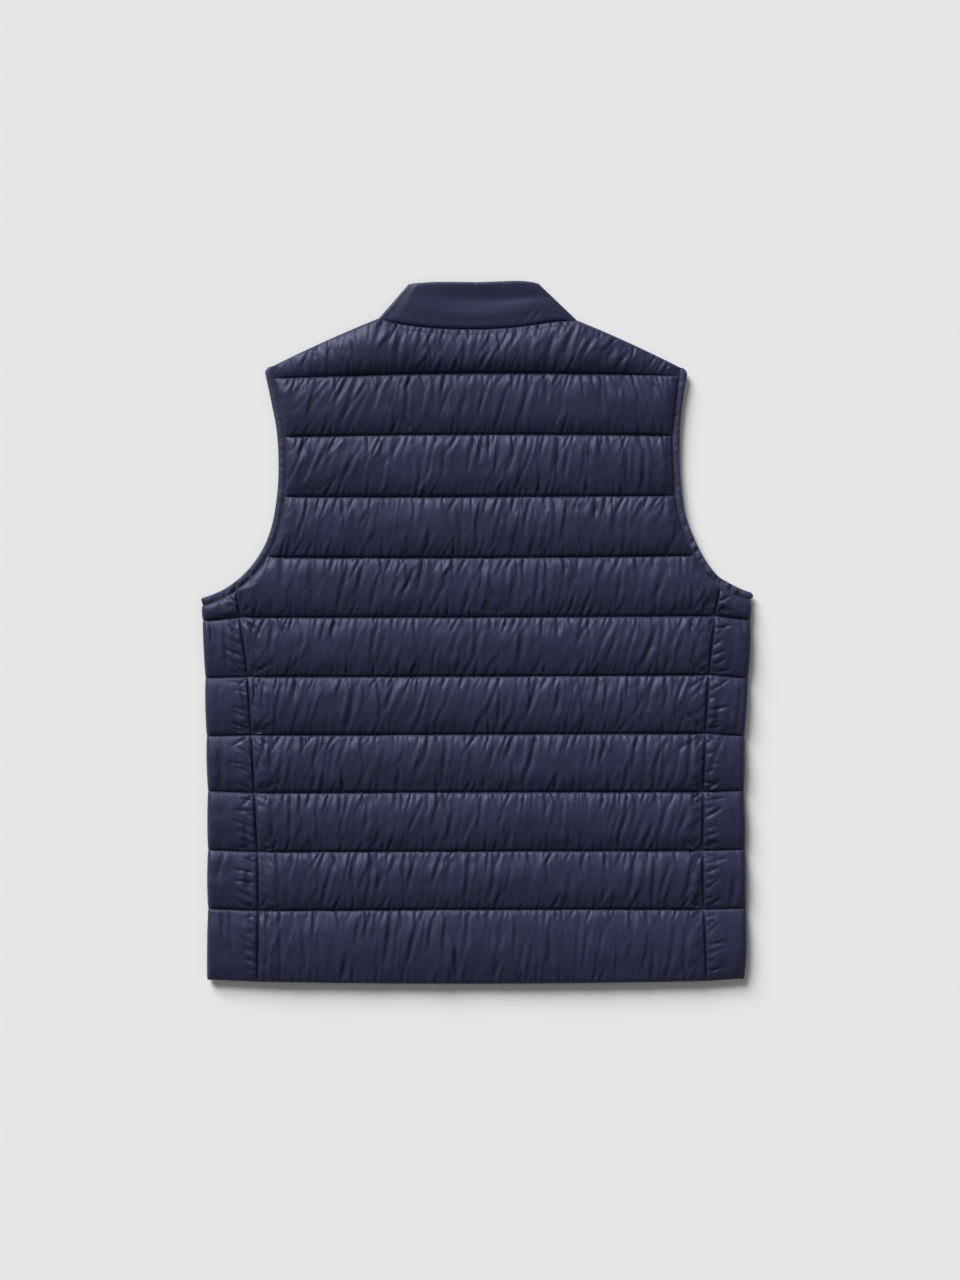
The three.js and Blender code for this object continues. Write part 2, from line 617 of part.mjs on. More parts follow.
function flatPanel(outline) {
  if (THREE.ShapeUtils.isClockWise(outline)) outline.reverse();
  const count = outline.length;
  const inset = outline.map((point, i) => {
    const before = outline[(i + count - 1) % count];
    const after = outline[(i + 1) % count];
    const along = after.clone().sub(before).normalize();
    return point.clone().add(new THREE.Vector2(-along.y, along.x).multiplyScalar(FRONT_EDGE_ROUNDING));
  });
  const at = (list, z) => list.map((p) => new THREE.Vector3(p.x, p.y, z));
  const points = [...at(inset, 0), ...at(outline, FRONT_EDGE_ROUNDING), ...at(outline, LOWER_THICKNESS)];
  const triangles = [];
  for (const lower of [0, count]) {
    const upper = lower + count;
    for (let i = 0; i < count; i += 1) {
      const j = (i + 1) % count;
      triangles.push([lower + i, lower + j, upper + j], [lower + i, upper + j, upper + i]);
    }
  }
  for (const [a, b, c] of THREE.ShapeUtils.triangulateShape(outline, [])) {
    triangles.push([2 * count + a, 2 * count + b, 2 * count + c]);
  }
  for (const [a, b, c] of THREE.ShapeUtils.triangulateShape(inset, [])) triangles.push([a, c, b]);
  return closedGeometry(points, triangles);
}

// A bar between two heights and two ends, for the zip.
function bar(width, fromY, toY, thickness, z) {
  const geometry = new THREE.BoxGeometry(width, toY - fromY, thickness);
  geometry.translate(0, (fromY + toY) / 2, z + thickness / 2);
  return geometry;
}

function zipSliderGeometry(z) {
  const { width, length, thickness, nose } = ZIP_SLIDER;
  const shape = new THREE.Shape();
  shape.moveTo(-nose, -length / 2);
  shape.lineTo(nose, -length / 2);
  shape.lineTo(width / 2, 0);
  shape.lineTo(width / 2, length / 2);
  shape.lineTo(-width / 2, length / 2);
  shape.lineTo(-width / 2, 0);
  shape.closePath();
  const geometry = new THREE.ExtrudeGeometry(shape, { depth: thickness, bevelEnabled: false });
  geometry.translate(0, 0, z);
  return geometry;
}

const vest = new THREE.Group();

function addPiece(name, geometry, finish) {
  const mesh = new THREE.Mesh(geometry, new THREE.MeshStandardMaterial(finish));
  mesh.name = name;
  vest.add(mesh);
  return mesh;
}

addPiece("back", makeBack(), FABRIC);
addPiece("collar", makeCollar(), FABRIC);
for (const side of ["left", "right"]) {
  addPiece("side_panel_" + side, makeSide(side), FABRIC);
  addPiece("front_" + side, makeFront(side), FABRIC);
  addPiece("armhole_binding_" + side, makeBinding(side), BINDING_FABRIC);
}

// The zip lies between the fronts, just clear of the surface: chain below, tapes above it.
const zipBottom = CHANNEL_LINES[0].middle + 2;
const zipTop = NECKLINE[0].y - FRONT_NECK_DROP + COLLAR_FRONT_HEIGHT - 3;
const tapeZ = 3.2;
const tapeWidth = ZIP_GAP / 2 - PIECE_GAP * 1.5;
const chainZ = tapeZ - PIECE_GAP - ZIP_CHAIN_THICKNESS;
for (const [side, sign] of [["left", -1], ["right", 1]]) {
  const tape = bar(tapeWidth, zipBottom, zipTop, ZIP_TAPE_THICKNESS, tapeZ);
  const piece = addPiece("zip_tape_" + side, tape, TAPE_FABRIC);
  piece.position.x = sign * (PIECE_GAP / 2 + tapeWidth / 2);
}
const chainTop = zipTop - ZIP_SLIDER.length - PIECE_GAP;
addPiece("zip_chain", bar(ZIP_CHAIN_WIDTH, zipBottom, chainTop, ZIP_CHAIN_THICKNESS, chainZ), ZIP_PLASTIC);
const slider = addPiece(
  "zip_slider",
  zipSliderGeometry(tapeZ - PIECE_GAP - ZIP_SLIDER.thickness),
  ZIP_METAL,
);
slider.position.y = zipTop - ZIP_SLIDER.length / 2;

export default vest;
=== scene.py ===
import math

import bpy
import numpy as np
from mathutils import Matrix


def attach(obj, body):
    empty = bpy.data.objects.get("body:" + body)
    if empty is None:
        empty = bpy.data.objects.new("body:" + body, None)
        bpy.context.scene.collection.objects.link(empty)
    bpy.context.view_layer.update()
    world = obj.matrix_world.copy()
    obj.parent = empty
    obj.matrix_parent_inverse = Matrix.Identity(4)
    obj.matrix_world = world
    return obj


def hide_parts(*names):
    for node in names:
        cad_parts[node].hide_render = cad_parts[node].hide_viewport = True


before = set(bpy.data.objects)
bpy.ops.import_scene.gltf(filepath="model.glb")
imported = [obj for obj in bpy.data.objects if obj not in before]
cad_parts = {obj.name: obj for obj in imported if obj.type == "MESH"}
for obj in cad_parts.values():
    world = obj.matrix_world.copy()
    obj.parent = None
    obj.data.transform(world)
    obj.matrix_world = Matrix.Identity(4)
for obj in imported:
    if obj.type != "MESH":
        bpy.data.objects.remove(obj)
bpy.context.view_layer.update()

MM = 0.001

# Driving dimensions, the same as the solids'.
LAYER_GAP = 0.6
LOWER_THICKNESS = 5.0
SEAM_THICKNESS = 2.2
BACK_LOFT = 8.2
SIDE_LOFT = 6.6
FULL_LOFT_HEIGHT = 50.0
HEM_EDGE_THICKNESS = 2.6
BINDING_WIDTH = 7.5
BINDING_THICKNESS = 3.0
COLLAR_THICKNESS = 5.0
FOLD_THICKNESS = 5.0
FOLD_LOFT = 1.3
FRONT_NECK_DROP = 80.0
COLLAR_FRONT_HEIGHT = 47.0
ZIP_GAP = 12.0
MIDDLE_Z = LOWER_THICKNESS + LAYER_GAP / 2
UPPER_Z = LOWER_THICKNESS + LAYER_GAP

# Dimensions of the scene alone. Its pieces lie closer than the solids, so that no floor shows between them.
PIECE_GAP = 0.08
RIBBON_THICKNESS = 0.5
STITCH_PITCH = 2.6
STITCH_LENGTH = 1.9
STITCH_RADIUS = 0.24
STITCH_DEPTH = 1.6
STITCH_HOLLOW = 1.1  # how far out the hollow of a line of stitching reaches
NECK_TOPSTITCH = 3.6
CHANNEL_HEIGHT = 59.0
FOLDED_HEIGHT = 45.0  # a channel lower than this has smaller folds
BACK_WIDTH = 450.0  # between the side seams, roughly
BACK_HIGHEST = 11.0  # what the swelling comes close to but doesn't pass
TOP_TILT = 4.0
TILT_REACH = 9.0
BACK_TAPER = 14.0
SIDE_TAPER = 12.0
SEAM_LIFT = 3.0
SEAM_LIFT_REACH = 8.0
FRONT_LOFT = 4.6
FRONT_TAPER = 10.0


def table(columns, rows):
    """A table's columns by name, as arrays."""
    return {name: np.array([row[i] for row in rows], float) for i, name in enumerate(columns.split())}


BODY = table(
    "y left_fold left_seam right_seam right_fold",
    [
        (-352, -270, -218, 230.5, 269),
        (-310, -269, -217.5, 229, 271),
        (-240, -269, -217.5, 226.5, 270.5),
        (-160, -269, -221, 227, 269),
        (-90, -270.5, -225, 229.5, 270),
        (-30, -272, -229.5, 233.5, 274),
        (15, -274.3, -236, 238.5, 275.6),
        (46, -276.2, -240.5, 243.5, 275.8),
    ],
)

# The hem and the ten lines of quilting, from the hem up. The hem's cloth ends inside the solids' edge.
LINES = table(
    "left_fold left middle right right_fold",
    [
        (-346, -348, -350, -347.2, -345),
        (-275, -276.7, -275.4, -275.4, -274.5),
        (-216.2, -218, -217.1, -216.8, -215.8),
        (-157.5, -159, -158.2, -158, -157),
        (-102.2, -101.4, -100.4, -99.6, -102.2),
        (-44.3, -43, -42.4, -41, -44.3),
        (13, 16.4, 16.7, 17.8, 14),
        (0, 76.5, 76, 78.2, 0),
        (0, 136.7, 136.9, 138, 0),
        (0, 196.8, 199.1, 197.9, 0),
        (0, 255, 260.5, 257.5, 0),
    ],
)
CHANNELS = 11
SIDE_CHANNELS = 7

ARMHOLE = table(
    "left_x left_y right_x right_y",
    [
        (-273.4, 35.6, 273.2, 41.6),
        (-263, 39.2, 265, 44.6),
        (-249, 46, 253, 50.6),
        (-233, 58.5, 241, 58.5),
        (-219, 75, 228.5, 75),
        (-208, 96, 217.5, 97),
        (-201, 123, 208.5, 123),
        (-197.5, 160, 204, 163),
        (-199, 200, 204, 203),
        (-205, 233, 207, 234),
        (-210.6, 259.5, 211, 258.5),
    ],
)
NECKLINE = table(
    "x y",
    [(-97.6, 314.6), (-75, 309.3), (-40, 305.2), (5, 304.2), (45, 306.8), (78, 311.6), (101.5, 312.6)],
)
COLLAR_TOP = table("x y", [(-66.8, 349.8), (-39, 351.4), (4, 351.2), (44, 352.4), (61.5, 350.8)])
SHOULDER_TIP = {"left": (-212.0, 262.5), "right": (212.0, 261.5)}
SHOULDER_BOW = 1.6
OUTWARD = {"left": -1.0, "right": 1.0}

# Which way the folds of each channel lean, in millimetres to the right over the channel's height.
FOLD_LEAN = table(
    "left middle right",
    [
        (5, 12, 8),
        (8, 15, 10),
        (8, 13, 12),
        (12, 12, 14),
        (10, 15, 13),
        (8, 13, 16),
        (4, 11, 17),
        (14, 9, 30),
        (32, 14, -8),
        (32, 12, -22),
        (4, 14, 26),
    ],
)

# The zip, as in the CAD. Its tapes are given for one side.
ZIP_TAPE = {"inner": 0.15, "outer": 5.7, "low": -350.5, "high": 278.6, "bottom": 3.2, "top": 4.4}
ZIP_CHAIN = {"width": 5.5, "low": -350.5, "high": 267.3, "bottom": 1.1, "top": 2.9}
ZIP_SLIDER = {"width": 9, "low": 267.6, "high": 278.6}
SLIDER_LEVELS = table("z size", [(0.3, 0.9), (0.5, 0.97), (0.8, 1), (2.4, 1), (2.7, 0.97), (2.9, 0.9)])
TOOTH_PITCH = 2.8
TOOTH = table(
    "reach length height",
    [
        (0, 1.0, 0.9),
        (0.25, 1.25, 1),
        (1.3, 1.25, 1),
        (1.9, 0.85, 0.9),
        (2.6, 0.85, 0.9),
        (3.1, 1.3, 1),
        (3.6, 1.1, 0.85),
    ],
)
TOOTH_CORNERS = 8

# The right half of the slider's outline, as shares of its half width and its length.
SLIDER_OUTLINE = table(
    "x y",
    [(0.62, 0), (0.72, 0.08), (0.74, 0.34), (1, 0.62), (1, 0.86), (0.86, 1), (0.3, 1), (0.12, 0.9)],
)

# How finely the cloth is meshed.
ROWS_IN_CHANNEL = 24
BACK_COLUMNS_BLOWN = 236
BACK_COLUMNS = 348
SIDE_STEP = 1.9
FRONT_ROWS = 16
FRONT_COLUMNS = 96
BINDING_STEP = 1.25
SIM_SCALE = 10.0
FRAMES = 16

# The seeds of the random draws.
SEEDS = {
    "back": 11,
    "fans_left": 17,
    "fans_right": 19,
    "side_left": 31,
    "side_right": 47,
    "front_left": 61,
    "front_right": 73,
    "collar": 5,
    "binding_left": 83,
    "binding_right": 97,
    "tape_left": 7,
    "tape_right": 8,
}


def draws(name):
    return np.random.default_rng(SEEDS[name])


def mix(low, high, share):
    return low + (high - low) * share


def smoothstep(low, high, value):
    share = np.clip((value - low) / (high - low), 0, 1)
    return share * share * (3 - 2 * share)


def smooth(rows, source, target, at):
    """The smooth curve through a table: column target where column source has the value at."""
    x, y = rows[source], rows[target]
    slope = np.gradient(y, x)
    slope[1:-1] = (y[2:] - y[:-2]) / (x[2:] - x[:-2])
    i = np.clip(np.searchsorted(x, at) - 1, 0, len(x) - 2)
    span = x[i + 1] - x[i]
    t = np.clip((at - x[i]) / span, 0, 1)
    ends = y[i] * (1 + 2 * t) * (1 - t) ** 2 + y[i + 1] * t * t * (3 - 2 * t)
    return ends + span * (slope[i] * t * (1 - t) ** 2 - slope[i + 1] * t * t * (1 - t))


def hermite(low, high, slope_low, slope_high, t):
    """A smooth curve from low to high, with the slopes that it has there."""
    ends = low * (1 + 2 * t) * (1 - t) ** 2 + high * t * t * (3 - 2 * t)
    return ends + (slope_low * t * (1 - t) ** 2 - slope_high * t * t * (1 - t))


def curve_through(points, steps):
    """A smooth curve through points, as evenly spaced points along it."""
    knots = np.arange(len(points))
    before = np.vstack([points[:1], points[:-1]])
    after = np.vstack([points[1:], points[-1:]])
    slope = (after - before) / 2
    at = np.linspace(0, len(points) - 1, 40 * len(points))
    i = np.clip(at.astype(int), 0, len(points) - 2)
    t = (at - knots[i])[:, None]
    dense = hermite(points[i], points[i + 1], slope[i], slope[i + 1], t)
    return even_steps(dense, steps)


def reach_along(line):
    """How far along a line each of its points is."""
    return np.concatenate([[0], np.cumsum(np.linalg.norm(np.diff(line, axis=0), axis=1))])


def even_steps(line, steps):
    """The same line with its points evenly spaced."""
    reach = reach_along(line)
    at = np.linspace(0, reach[-1], steps)
    return np.stack([np.interp(at, reach, line[:, k]) for k in range(line.shape[1])], axis=1)


def seam_at(side, y):
    return smooth(BODY, "y", side + "_seam", y)


def fold_axis_at(side, y):
    reach = LAYER_GAP / 2 + FOLD_THICKNESS + FOLD_LOFT
    return smooth(BODY, "y", side + "_fold", y) - OUTWARD[side] * reach


def armhole_line(side):
    """The armhole's edge from the underarm to the shoulder's tip: its points, their directions, the way
    towards the cloth and the line where the panels end inside the binding."""
    edge = curve_through(np.stack([ARMHOLE[side + "_x"], ARMHOLE[side + "_y"]], axis=1), 400)
    along = np.gradient(edge, axis=0)
    along /= np.linalg.norm(along, axis=1)[:, None]
    inward = np.stack([-along[:, 1], along[:, 0]], axis=1) * OUTWARD[side]
    panel = edge + inward * (BINDING_WIDTH + PIECE_GAP)
    return {"edge": edge, "along": along, "inward": inward, "panel": panel}


ARMHOLES = {side: armhole_line(side) for side in ("left", "right")}


def corner_of(side):
    """Where the side seam meets the binding: the number of the point on the armhole's line."""
    panel = ARMHOLES[side]["panel"]
    inside = (panel[:, 0] - seam_at(side, panel[:, 1])) * OUTWARD[side]
    return int(np.argmax(inside <= 0))


CORNER = {side: corner_of(side) for side in ("left", "right")}


def panel_edge(side, y):
    """The edge of the back and of the front at a height: the side seam below, the armhole above."""
    line = ARMHOLES[side]["panel"][CORNER[side] :]
    above = np.interp(y, line[:, 1], line[:, 0])
    below = seam_at(side, y) - OUTWARD[side] * PIECE_GAP / 2
    return np.where(y <= line[0, 1], below, above)


def line_height(channel, share):
    left, middle, right = (LINES[name][channel] for name in ("left", "middle", "right"))
    return mix(left, right, share) + (middle - (left + right) / 2) * 4 * share * (1 - share)


def neck_point(side):
    row = 0 if side == "left" else -1
    return np.array([NECKLINE["x"][row], NECKLINE["y"][row]])


def shoulder_height(side, x):
    neck, tip = neck_point(side), SHOULDER_TIP[side]
    share = (x - neck[0]) / (tip[0] - neck[0])
    return mix(neck[1], tip[1], share) + SHOULDER_BOW * 4 * share * (1 - share)


def back_top(x):
    """The upper edge of the back: shoulder, neckline, shoulder."""
    neck = smooth(NECKLINE, "x", "y", x) - PIECE_GAP
    left, right = shoulder_height("left", x), shoulder_height("right", x)
    return np.where(x < NECKLINE["x"][0], left, np.where(x > NECKLINE["x"][-1], right, neck))


def channel_rise(share):
    return np.sqrt(np.clip(1 - (2 * share - 1) ** 2, 0, 1))


def round_off(distance):
    """Rises like a quarter of a circle from 0 at an edge to 1."""
    return np.sqrt(1 - (1 - np.clip(distance, 0, 1)) ** 2)


def channel_rows(channels, count):
    """For each row of a grid its channel and its share of the channel's height, closer at the lines."""
    steps = np.linspace(0, 1, count + 1)[:-1]
    steps = steps - 0.045 * np.sin(2 * np.pi * steps)
    channel = np.append(np.repeat(np.arange(channels), count), channels - 1)
    return channel, np.append(np.tile(steps, channels), 1.0)


def ripple(at, pitch, rng):
    """Uneven waves along a line, about one in every two pitches."""
    cells = at / pitch
    cells = cells - cells.min()
    lattice = rng.uniform(-1, 1, int(cells.max()) + 3)
    i = cells.astype(int)
    t = cells - i
    t = t * t * (3 - 2 * t)
    return mix(lattice[i], lattice[i + 1], t)


def uneven(x, y, pitch_x, pitch_y, rng):
    """Smooth noise from -1 to 1 over a surface."""
    u, v = x / pitch_x, y / pitch_y
    u, v = u - u.min(), v - v.min()
    lattice = rng.uniform(-1, 1, (int(v.max()) + 3, int(u.max()) + 3))
    i, j = u.astype(int), v.astype(int)
    s, t = u - i, v - j
    s, t = s * s * (3 - 2 * s), t * t * (3 - 2 * t)
    lower = mix(lattice[j, i], lattice[j, i + 1], s)
    upper = mix(lattice[j + 1, i], lattice[j + 1, i + 1], s)
    return mix(lower, upper, t)


def crinkles(x, y, rng):
    """Puffy cloth between sharp little creases that run mostly down the channel."""
    bent = x + 5 * uneven(x, y, 24, 20, rng)
    patchy = 0.65 + 0.45 * uneven(x, y, 55, 40, rng)
    rise = np.zeros_like(x)
    for pitch, length, size in ((11, 19, 1.3), (5.6, 11, 0.55), (3, 6, 0.18)):
        rise += size * (np.abs(uneven(bent, y, pitch, length, rng)) - 0.35)
    return rise * patchy + 0.8 * uneven(x, y, 24, 17, rng)


# Creases that run out of a line of stitching or a seam: their spacing, length, width and depth, each from
# the least to the most, and how much their ways scatter.
CREASE_KINDS = {
    "short": ((3, 19), (6, 28), (1.3, 2.4), (0.6, 2.5), 0.24),
    "long": ((25, 80), (24, 48), (0.9, 1.4), (0.4, 0.9), 0.4),
    "back_seam": ((9, 26), (7, 22), (2, 3.2), (0.3, 0.9), 0.5),
    "side_seam": ((8, 24), (6, 20), (1.6, 2.6), (0.3, 0.9), 0.4),
}


def wedges(kind, x, away, slope, rng):
    """Narrow sharp creases that start at a line of stitching and run out of it, each its own way."""
    spacing, length, width, depth, scatter = CREASE_KINDS[kind]
    left, right = x.min(), x.max()
    rise = np.zeros_like(x)
    at = left + rng.uniform(*spacing)
    while at < right:
        reach = rng.uniform(*length)
        half = rng.uniform(*width)
        way = slope(float((at - left) / (right - left))) + rng.normal(0, scatter)
        run = np.clip(away / reach, 0, 1)
        u = (x - at - way * away) / half
        fade = (1 - run) ** 0.7
        lip = np.exp(-((u + 1.8) ** 2)) + 0.4 * np.exp(-((u - 1.8) ** 2))
        rise += rng.uniform(*depth) * fade * (0.5 * lip - np.clip(1 - np.abs(u), 0, 1))
        at += rng.uniform(*spacing)
    return rise


def beside_line(x, away, leans, up, rng):
    """The creases beside one line: many short ones and a few long, fine ones."""
    direction = 1 if up else -1
    slope = lambda place: direction * float(lean_at(place, leans)) / CHANNEL_HEIGHT
    rise = wedges("short", x, away, slope, rng)
    return rise + wedges("long", x, away, lambda place: -0.3 * slope(place), rng)


def lean_at(place, leans):
    """How far the folds lean at a place across the garment, from 0 to 1."""
    return np.interp(place, [0, 0.14, 0.3, 0.7, 0.86, 1], np.repeat(leans, 2))


def leans_of(leans, number):
    return [leans[name][number] for name in ("left", "middle", "right")]


def folds(x, share, height, rng, leans, depth=(0.5, 2.5)):
    """Folds that run down a channel: lens-shaped hollows with a ridge on each side, scattered over it."""
    left, right = x.min(), x.max()
    hollow = np.zeros_like(x)
    at = left + rng.uniform(2, 10)
    while at < right:
        place = (at - left) / (right - left)
        lean = float(lean_at(place, leans)) + rng.normal(0, 8)
        length = rng.uniform(0.35, 0.9)
        start = rng.choice([0, 1 - length, (1 - length) / 2])
        width = rng.uniform(1.7, 3.4)
        bow = rng.normal(0, 2.6)
        strength = rng.uniform(*depth)
        run = np.clip((share - start) / length, 0, 1)
        taper = np.sin(np.pi * run) ** 0.7
        u = (x - at - lean * (share - 0.5) - bow * 4 * share * (1 - share)) / width
        cut = -np.exp(-u * u) + 0.45 * np.exp(-((u - 1.7) ** 2)) + 0.45 * np.exp(-((u + 1.7) ** 2))
        hollow += strength * taper * cut
        at += rng.uniform(6, 28)
    return hollow * np.clip(height / FOLDED_HEIGHT, 0.15, 1)


def lapped_folds(x, share, height, rng, leans):
    """Sharper folds, each a ridge that drops over a crisp edge into a hollow beside it."""
    left, right = x.min(), x.max()
    rise = np.zeros_like(x)
    at = left + rng.uniform(0, 6)
    while at < right:
        lean = float(lean_at((at - left) / (right - left), leans)) + rng.normal(0, 10)
        length = rng.uniform(0.25, 0.8)
        start = rng.choice([0.02, 0.98 - length, rng.uniform(0.05, 0.95 - length)])
        bow, curl = rng.normal(0, 2.2), rng.normal(0, 1.2)
        side = 1 if rng.random() < 0.72 else -1
        before, after, edge = rng.uniform(3, 7), rng.uniform(2.2, 5), rng.uniform(0.5, 1.0)
        size = rng.uniform(0.6, 2.3)
        run = np.clip((share - start) / length, 0, 1)
        taper = np.sin(np.pi * run) ** 0.8
        centre = at + lean * (share - 0.5) + bow * np.sin(np.pi * run) + curl * np.sin(2 * np.pi * run)
        u = side * (x - centre)
        drop = np.tanh(u / edge)
        ridge = 0.5 * (1 - drop) * np.exp(np.minimum(u, 0) / before)
        hollow = 0.5 * (1 + drop) * np.exp(-np.maximum(u, 0) / after)
        rise += size * taper * (ridge - 0.75 * hollow)
        at += rng.uniform(5, 25)
    return rise * np.clip(height / FOLDED_HEIGHT, 0.1, 1)


def blow_up(points, pinned, excess):
    """Simulates a grid of cloth that is sewn down where pinned and filled from below. Its flat cut is larger
    than the space between the seams by the excess, so it swells and wrinkles. Gives its points then."""
    rows, columns = points.shape[:2]
    start = points.reshape(-1, 3) * MM * SIM_SCALE
    mesh = bpy.data.meshes.new("blown")
    mesh.from_pydata(start.tolist(), [], grid_faces(rows, columns))
    cloth = bpy.data.objects.new("blown", mesh)
    bpy.context.scene.collection.objects.link(cloth)
    group = cloth.vertex_groups.new(name="pin")
    group.add(np.flatnonzero(pinned.ravel()).tolist(), 1.0, "REPLACE")
    cloth.shape_key_add(name="Basis")
    cut = cloth.shape_key_add(name="cut")
    flat = start * (excess[0], excess[1], 0)
    cut.data.foreach_set("co", flat.ravel())

    modifier = cloth.modifiers.new("cloth", "CLOTH")
    settings = modifier.settings
    settings.vertex_group_mass = "pin"
    settings.pin_stiffness = 1
    settings.rest_shape_key = cut
    settings.quality = 4
    settings.mass = 0.05
    settings.tension_stiffness = settings.compression_stiffness = 25
    settings.shear_stiffness = 6
    settings.bending_stiffness = 0.03
    settings.tension_damping = settings.compression_damping = settings.shear_damping = 5
    settings.bending_damping = 0.5
    settings.use_pressure = True
    settings.uniform_pressure_force = 1.5
    settings.effector_weights.gravity = 0
    modifier.collision_settings.use_collision = False
    modifier.point_cache.frame_end = FRAMES
    scene = bpy.context.scene
    for step in range(1, FRAMES + 1):
        scene.frame_set(step)
    shaped = cloth.evaluated_get(bpy.context.evaluated_depsgraph_get()).to_mesh()
    result = np.empty(rows * columns * 3)
    shaped.vertices.foreach_get("co", result)
    bpy.data.objects.remove(cloth)
    bpy.data.meshes.remove(mesh)
    scene.frame_set(1)
    return result.reshape(rows, columns, 3) / MM / SIM_SCALE


def resample(grid, count):
    """A grid of points with another number of columns, on smooth curves along its rows."""
    columns = grid.shape[1]
    at = np.linspace(0, columns - 1, count)
    i = np.clip(at.astype(int), 0, columns - 2)
    t = (at - i)[None, :, None]
    slope = np.gradient(grid, axis=1)
    return hermite(grid[:, i], grid[:, i + 1], slope[:, i], slope[:, i + 1], t)


def grid_faces(rows, columns, first=0, turned=False):
    """Squares between the points of a grid, facing up where its rows and columns rise."""
    corner = (np.arange(rows - 1)[:, None] * columns + np.arange(columns - 1)[None, :]).ravel() + first
    order = [0, 1, columns + 1, columns]
    if turned:
        order.reverse()
    return np.stack([corner + step for step in order], axis=1).tolist()


def grid_border(rows, columns):
    """The numbers of a grid's border points, anticlockwise from its first one."""
    bottom = np.arange(columns)
    right = np.arange(1, rows) * columns + columns - 1
    top = (rows - 1) * columns + np.arange(columns - 2, -1, -1)
    left = np.arange(rows - 2, 0, -1) * columns
    return np.concatenate([bottom, right, top, left])


def rim_faces(upper, lower):
    """Squares between two borders, given by the numbers of their points."""
    return np.stack([lower, np.roll(lower, -1), np.roll(upper, -1), upper], axis=1).tolist()


def tube_faces(count, size, first=0, joined=False):
    """The skin through rings of points, joined end to end or closed at its two ends."""
    faces = []
    for ring in range(count if joined else count - 1):
        row, following = first + ring * size, first + (ring + 1) % count * size
        for i in range(size):
            j = (i + 1) % size
            faces.append([row + i, row + j, following + j, following + i])
    if not joined:
        faces.append([first + i for i in range(size - 1, -1, -1)])
        faces.append([first + (count - 1) * size + i for i in range(size)])
    return faces


def make_piece(name, points, faces, material, sharp=55):
    """A mesh object from points in millimetres, facing out, with smooth shading but for its sharp edges."""
    points = np.asarray(points)
    mesh = bpy.data.meshes.new(name)
    mesh.from_pydata((points * MM).tolist(), [], faces)
    mesh.update()
    mesh.calc_loop_triangles()
    corners = np.empty(3 * len(mesh.loop_triangles), dtype=np.int32)
    mesh.loop_triangles.foreach_get("vertices", corners)
    a, b, c = (points[corners[k::3]] for k in range(3))
    volume = np.sum(a * np.cross(b, c))
    if volume < 0:
        mesh.flip_normals()
    mesh.shade_smooth()
    mesh.set_sharp_from_angle(angle=math.radians(sharp))
    mesh.materials.append(material)
    piece = bpy.data.objects.new(name, mesh)
    bpy.context.scene.collection.objects.link(piece)
    return piece


def sheet_on_flat(name, outer, inner_z, material):
    """Cloth with a shaped outer grid over a plain flat inside, and a rim between them."""
    rows, columns = outer.shape[:2]
    points = outer.reshape(-1, 3)
    border = grid_border(rows, columns)
    below = points[border].copy()
    below[:, 2] = inner_z
    lower = len(points) + np.arange(len(border))
    faces = grid_faces(rows, columns) + rim_faces(border, lower) + [lower[::-1].tolist()]
    return make_piece(name, np.vstack([points, below]), faces, material)


def sheet_between(name, outer, inner, material):
    """Cloth between an outer and an inner grid, with a rim round its border."""
    rows, columns = outer.shape[:2]
    first = rows * columns
    border = grid_border(rows, columns)
    faces = grid_faces(rows, columns) + grid_faces(rows, columns, first, turned=True)
    faces += rim_faces(border, first + border)
    return make_piece(name, np.vstack([outer.reshape(-1, 3), inner.reshape(-1, 3)]), faces, material)


def mark_stitches(piece, distance):
    """Keeps for the cloth's material how near each point is to a line of stitching, from 0 to 1."""
    near = np.zeros(len(piece.data.vertices))
    near[: distance.size] = np.exp(-distance.ravel() / 1.6)
    attribute = piece.data.attributes.new("beside_stitches", "FLOAT", "POINT")
    attribute.data.foreach_set("value", near)


def ring_mesh(name, rings, material, joined):
    count, size = rings.shape[:2]
    return make_piece(name, rings.reshape(-1, 3), tube_faces(count, size, joined=joined), material)


# Materials. A height or a tone is a function that makes its nodes in a material's tree.
NAVY_GLOSS = (0.72, 0.76, 1.0)  # the dyed cloth tints its gloss
THREAD_TWIST = math.pi / 9


def add_node(tree, kind, **values):
    """A node with its plain properties and its sockets' numbers set by name."""
    node = tree.nodes.new(kind)
    for key, value in values.items():
        if hasattr(node, key):
            setattr(node, key, value)
        else:
            node.inputs[key.replace("_", " ").title()].default_value = value
    return node


def place_coordinates(tree, stretch=(1, 1, 1), turn=0):
    """Coordinates that stay with the piece, in millimetres times a stretch, turned by some degrees."""
    coordinates = tree.nodes.new("ShaderNodeTexCoord")
    mapping = tree.nodes.new("ShaderNodeMapping")
    mapping.inputs["Rotation"].default_value = [0, 0, math.radians(turn)]
    mapping.inputs["Scale"].default_value = [1000 * s for s in stretch]
    tree.links.new(coordinates.outputs["Object"], mapping.inputs["Vector"])
    return mapping.outputs["Vector"]


def noise(scale, detail=3.0, stretch=(1, 1, 1), distortion=0.0, kind="FBM", turn=0):
    """Noise with features of about 1 / scale millimetres."""

    def make(tree):
        node = add_node(tree, "ShaderNodeTexNoise", scale=scale, detail=detail, distortion=distortion)
        node.noise_type = kind
        tree.links.new(place_coordinates(tree, stretch, turn), node.inputs["Vector"])
        return node.outputs["Fac"]

    return make


def creased(scale, turn):
    """Sharp creases that run mostly up and down, turned by an angle."""
    return noise(scale, 4, (1, 0.4, 1), distortion=0.7, kind="RIDGED_MULTIFRACTAL", turn=turn)


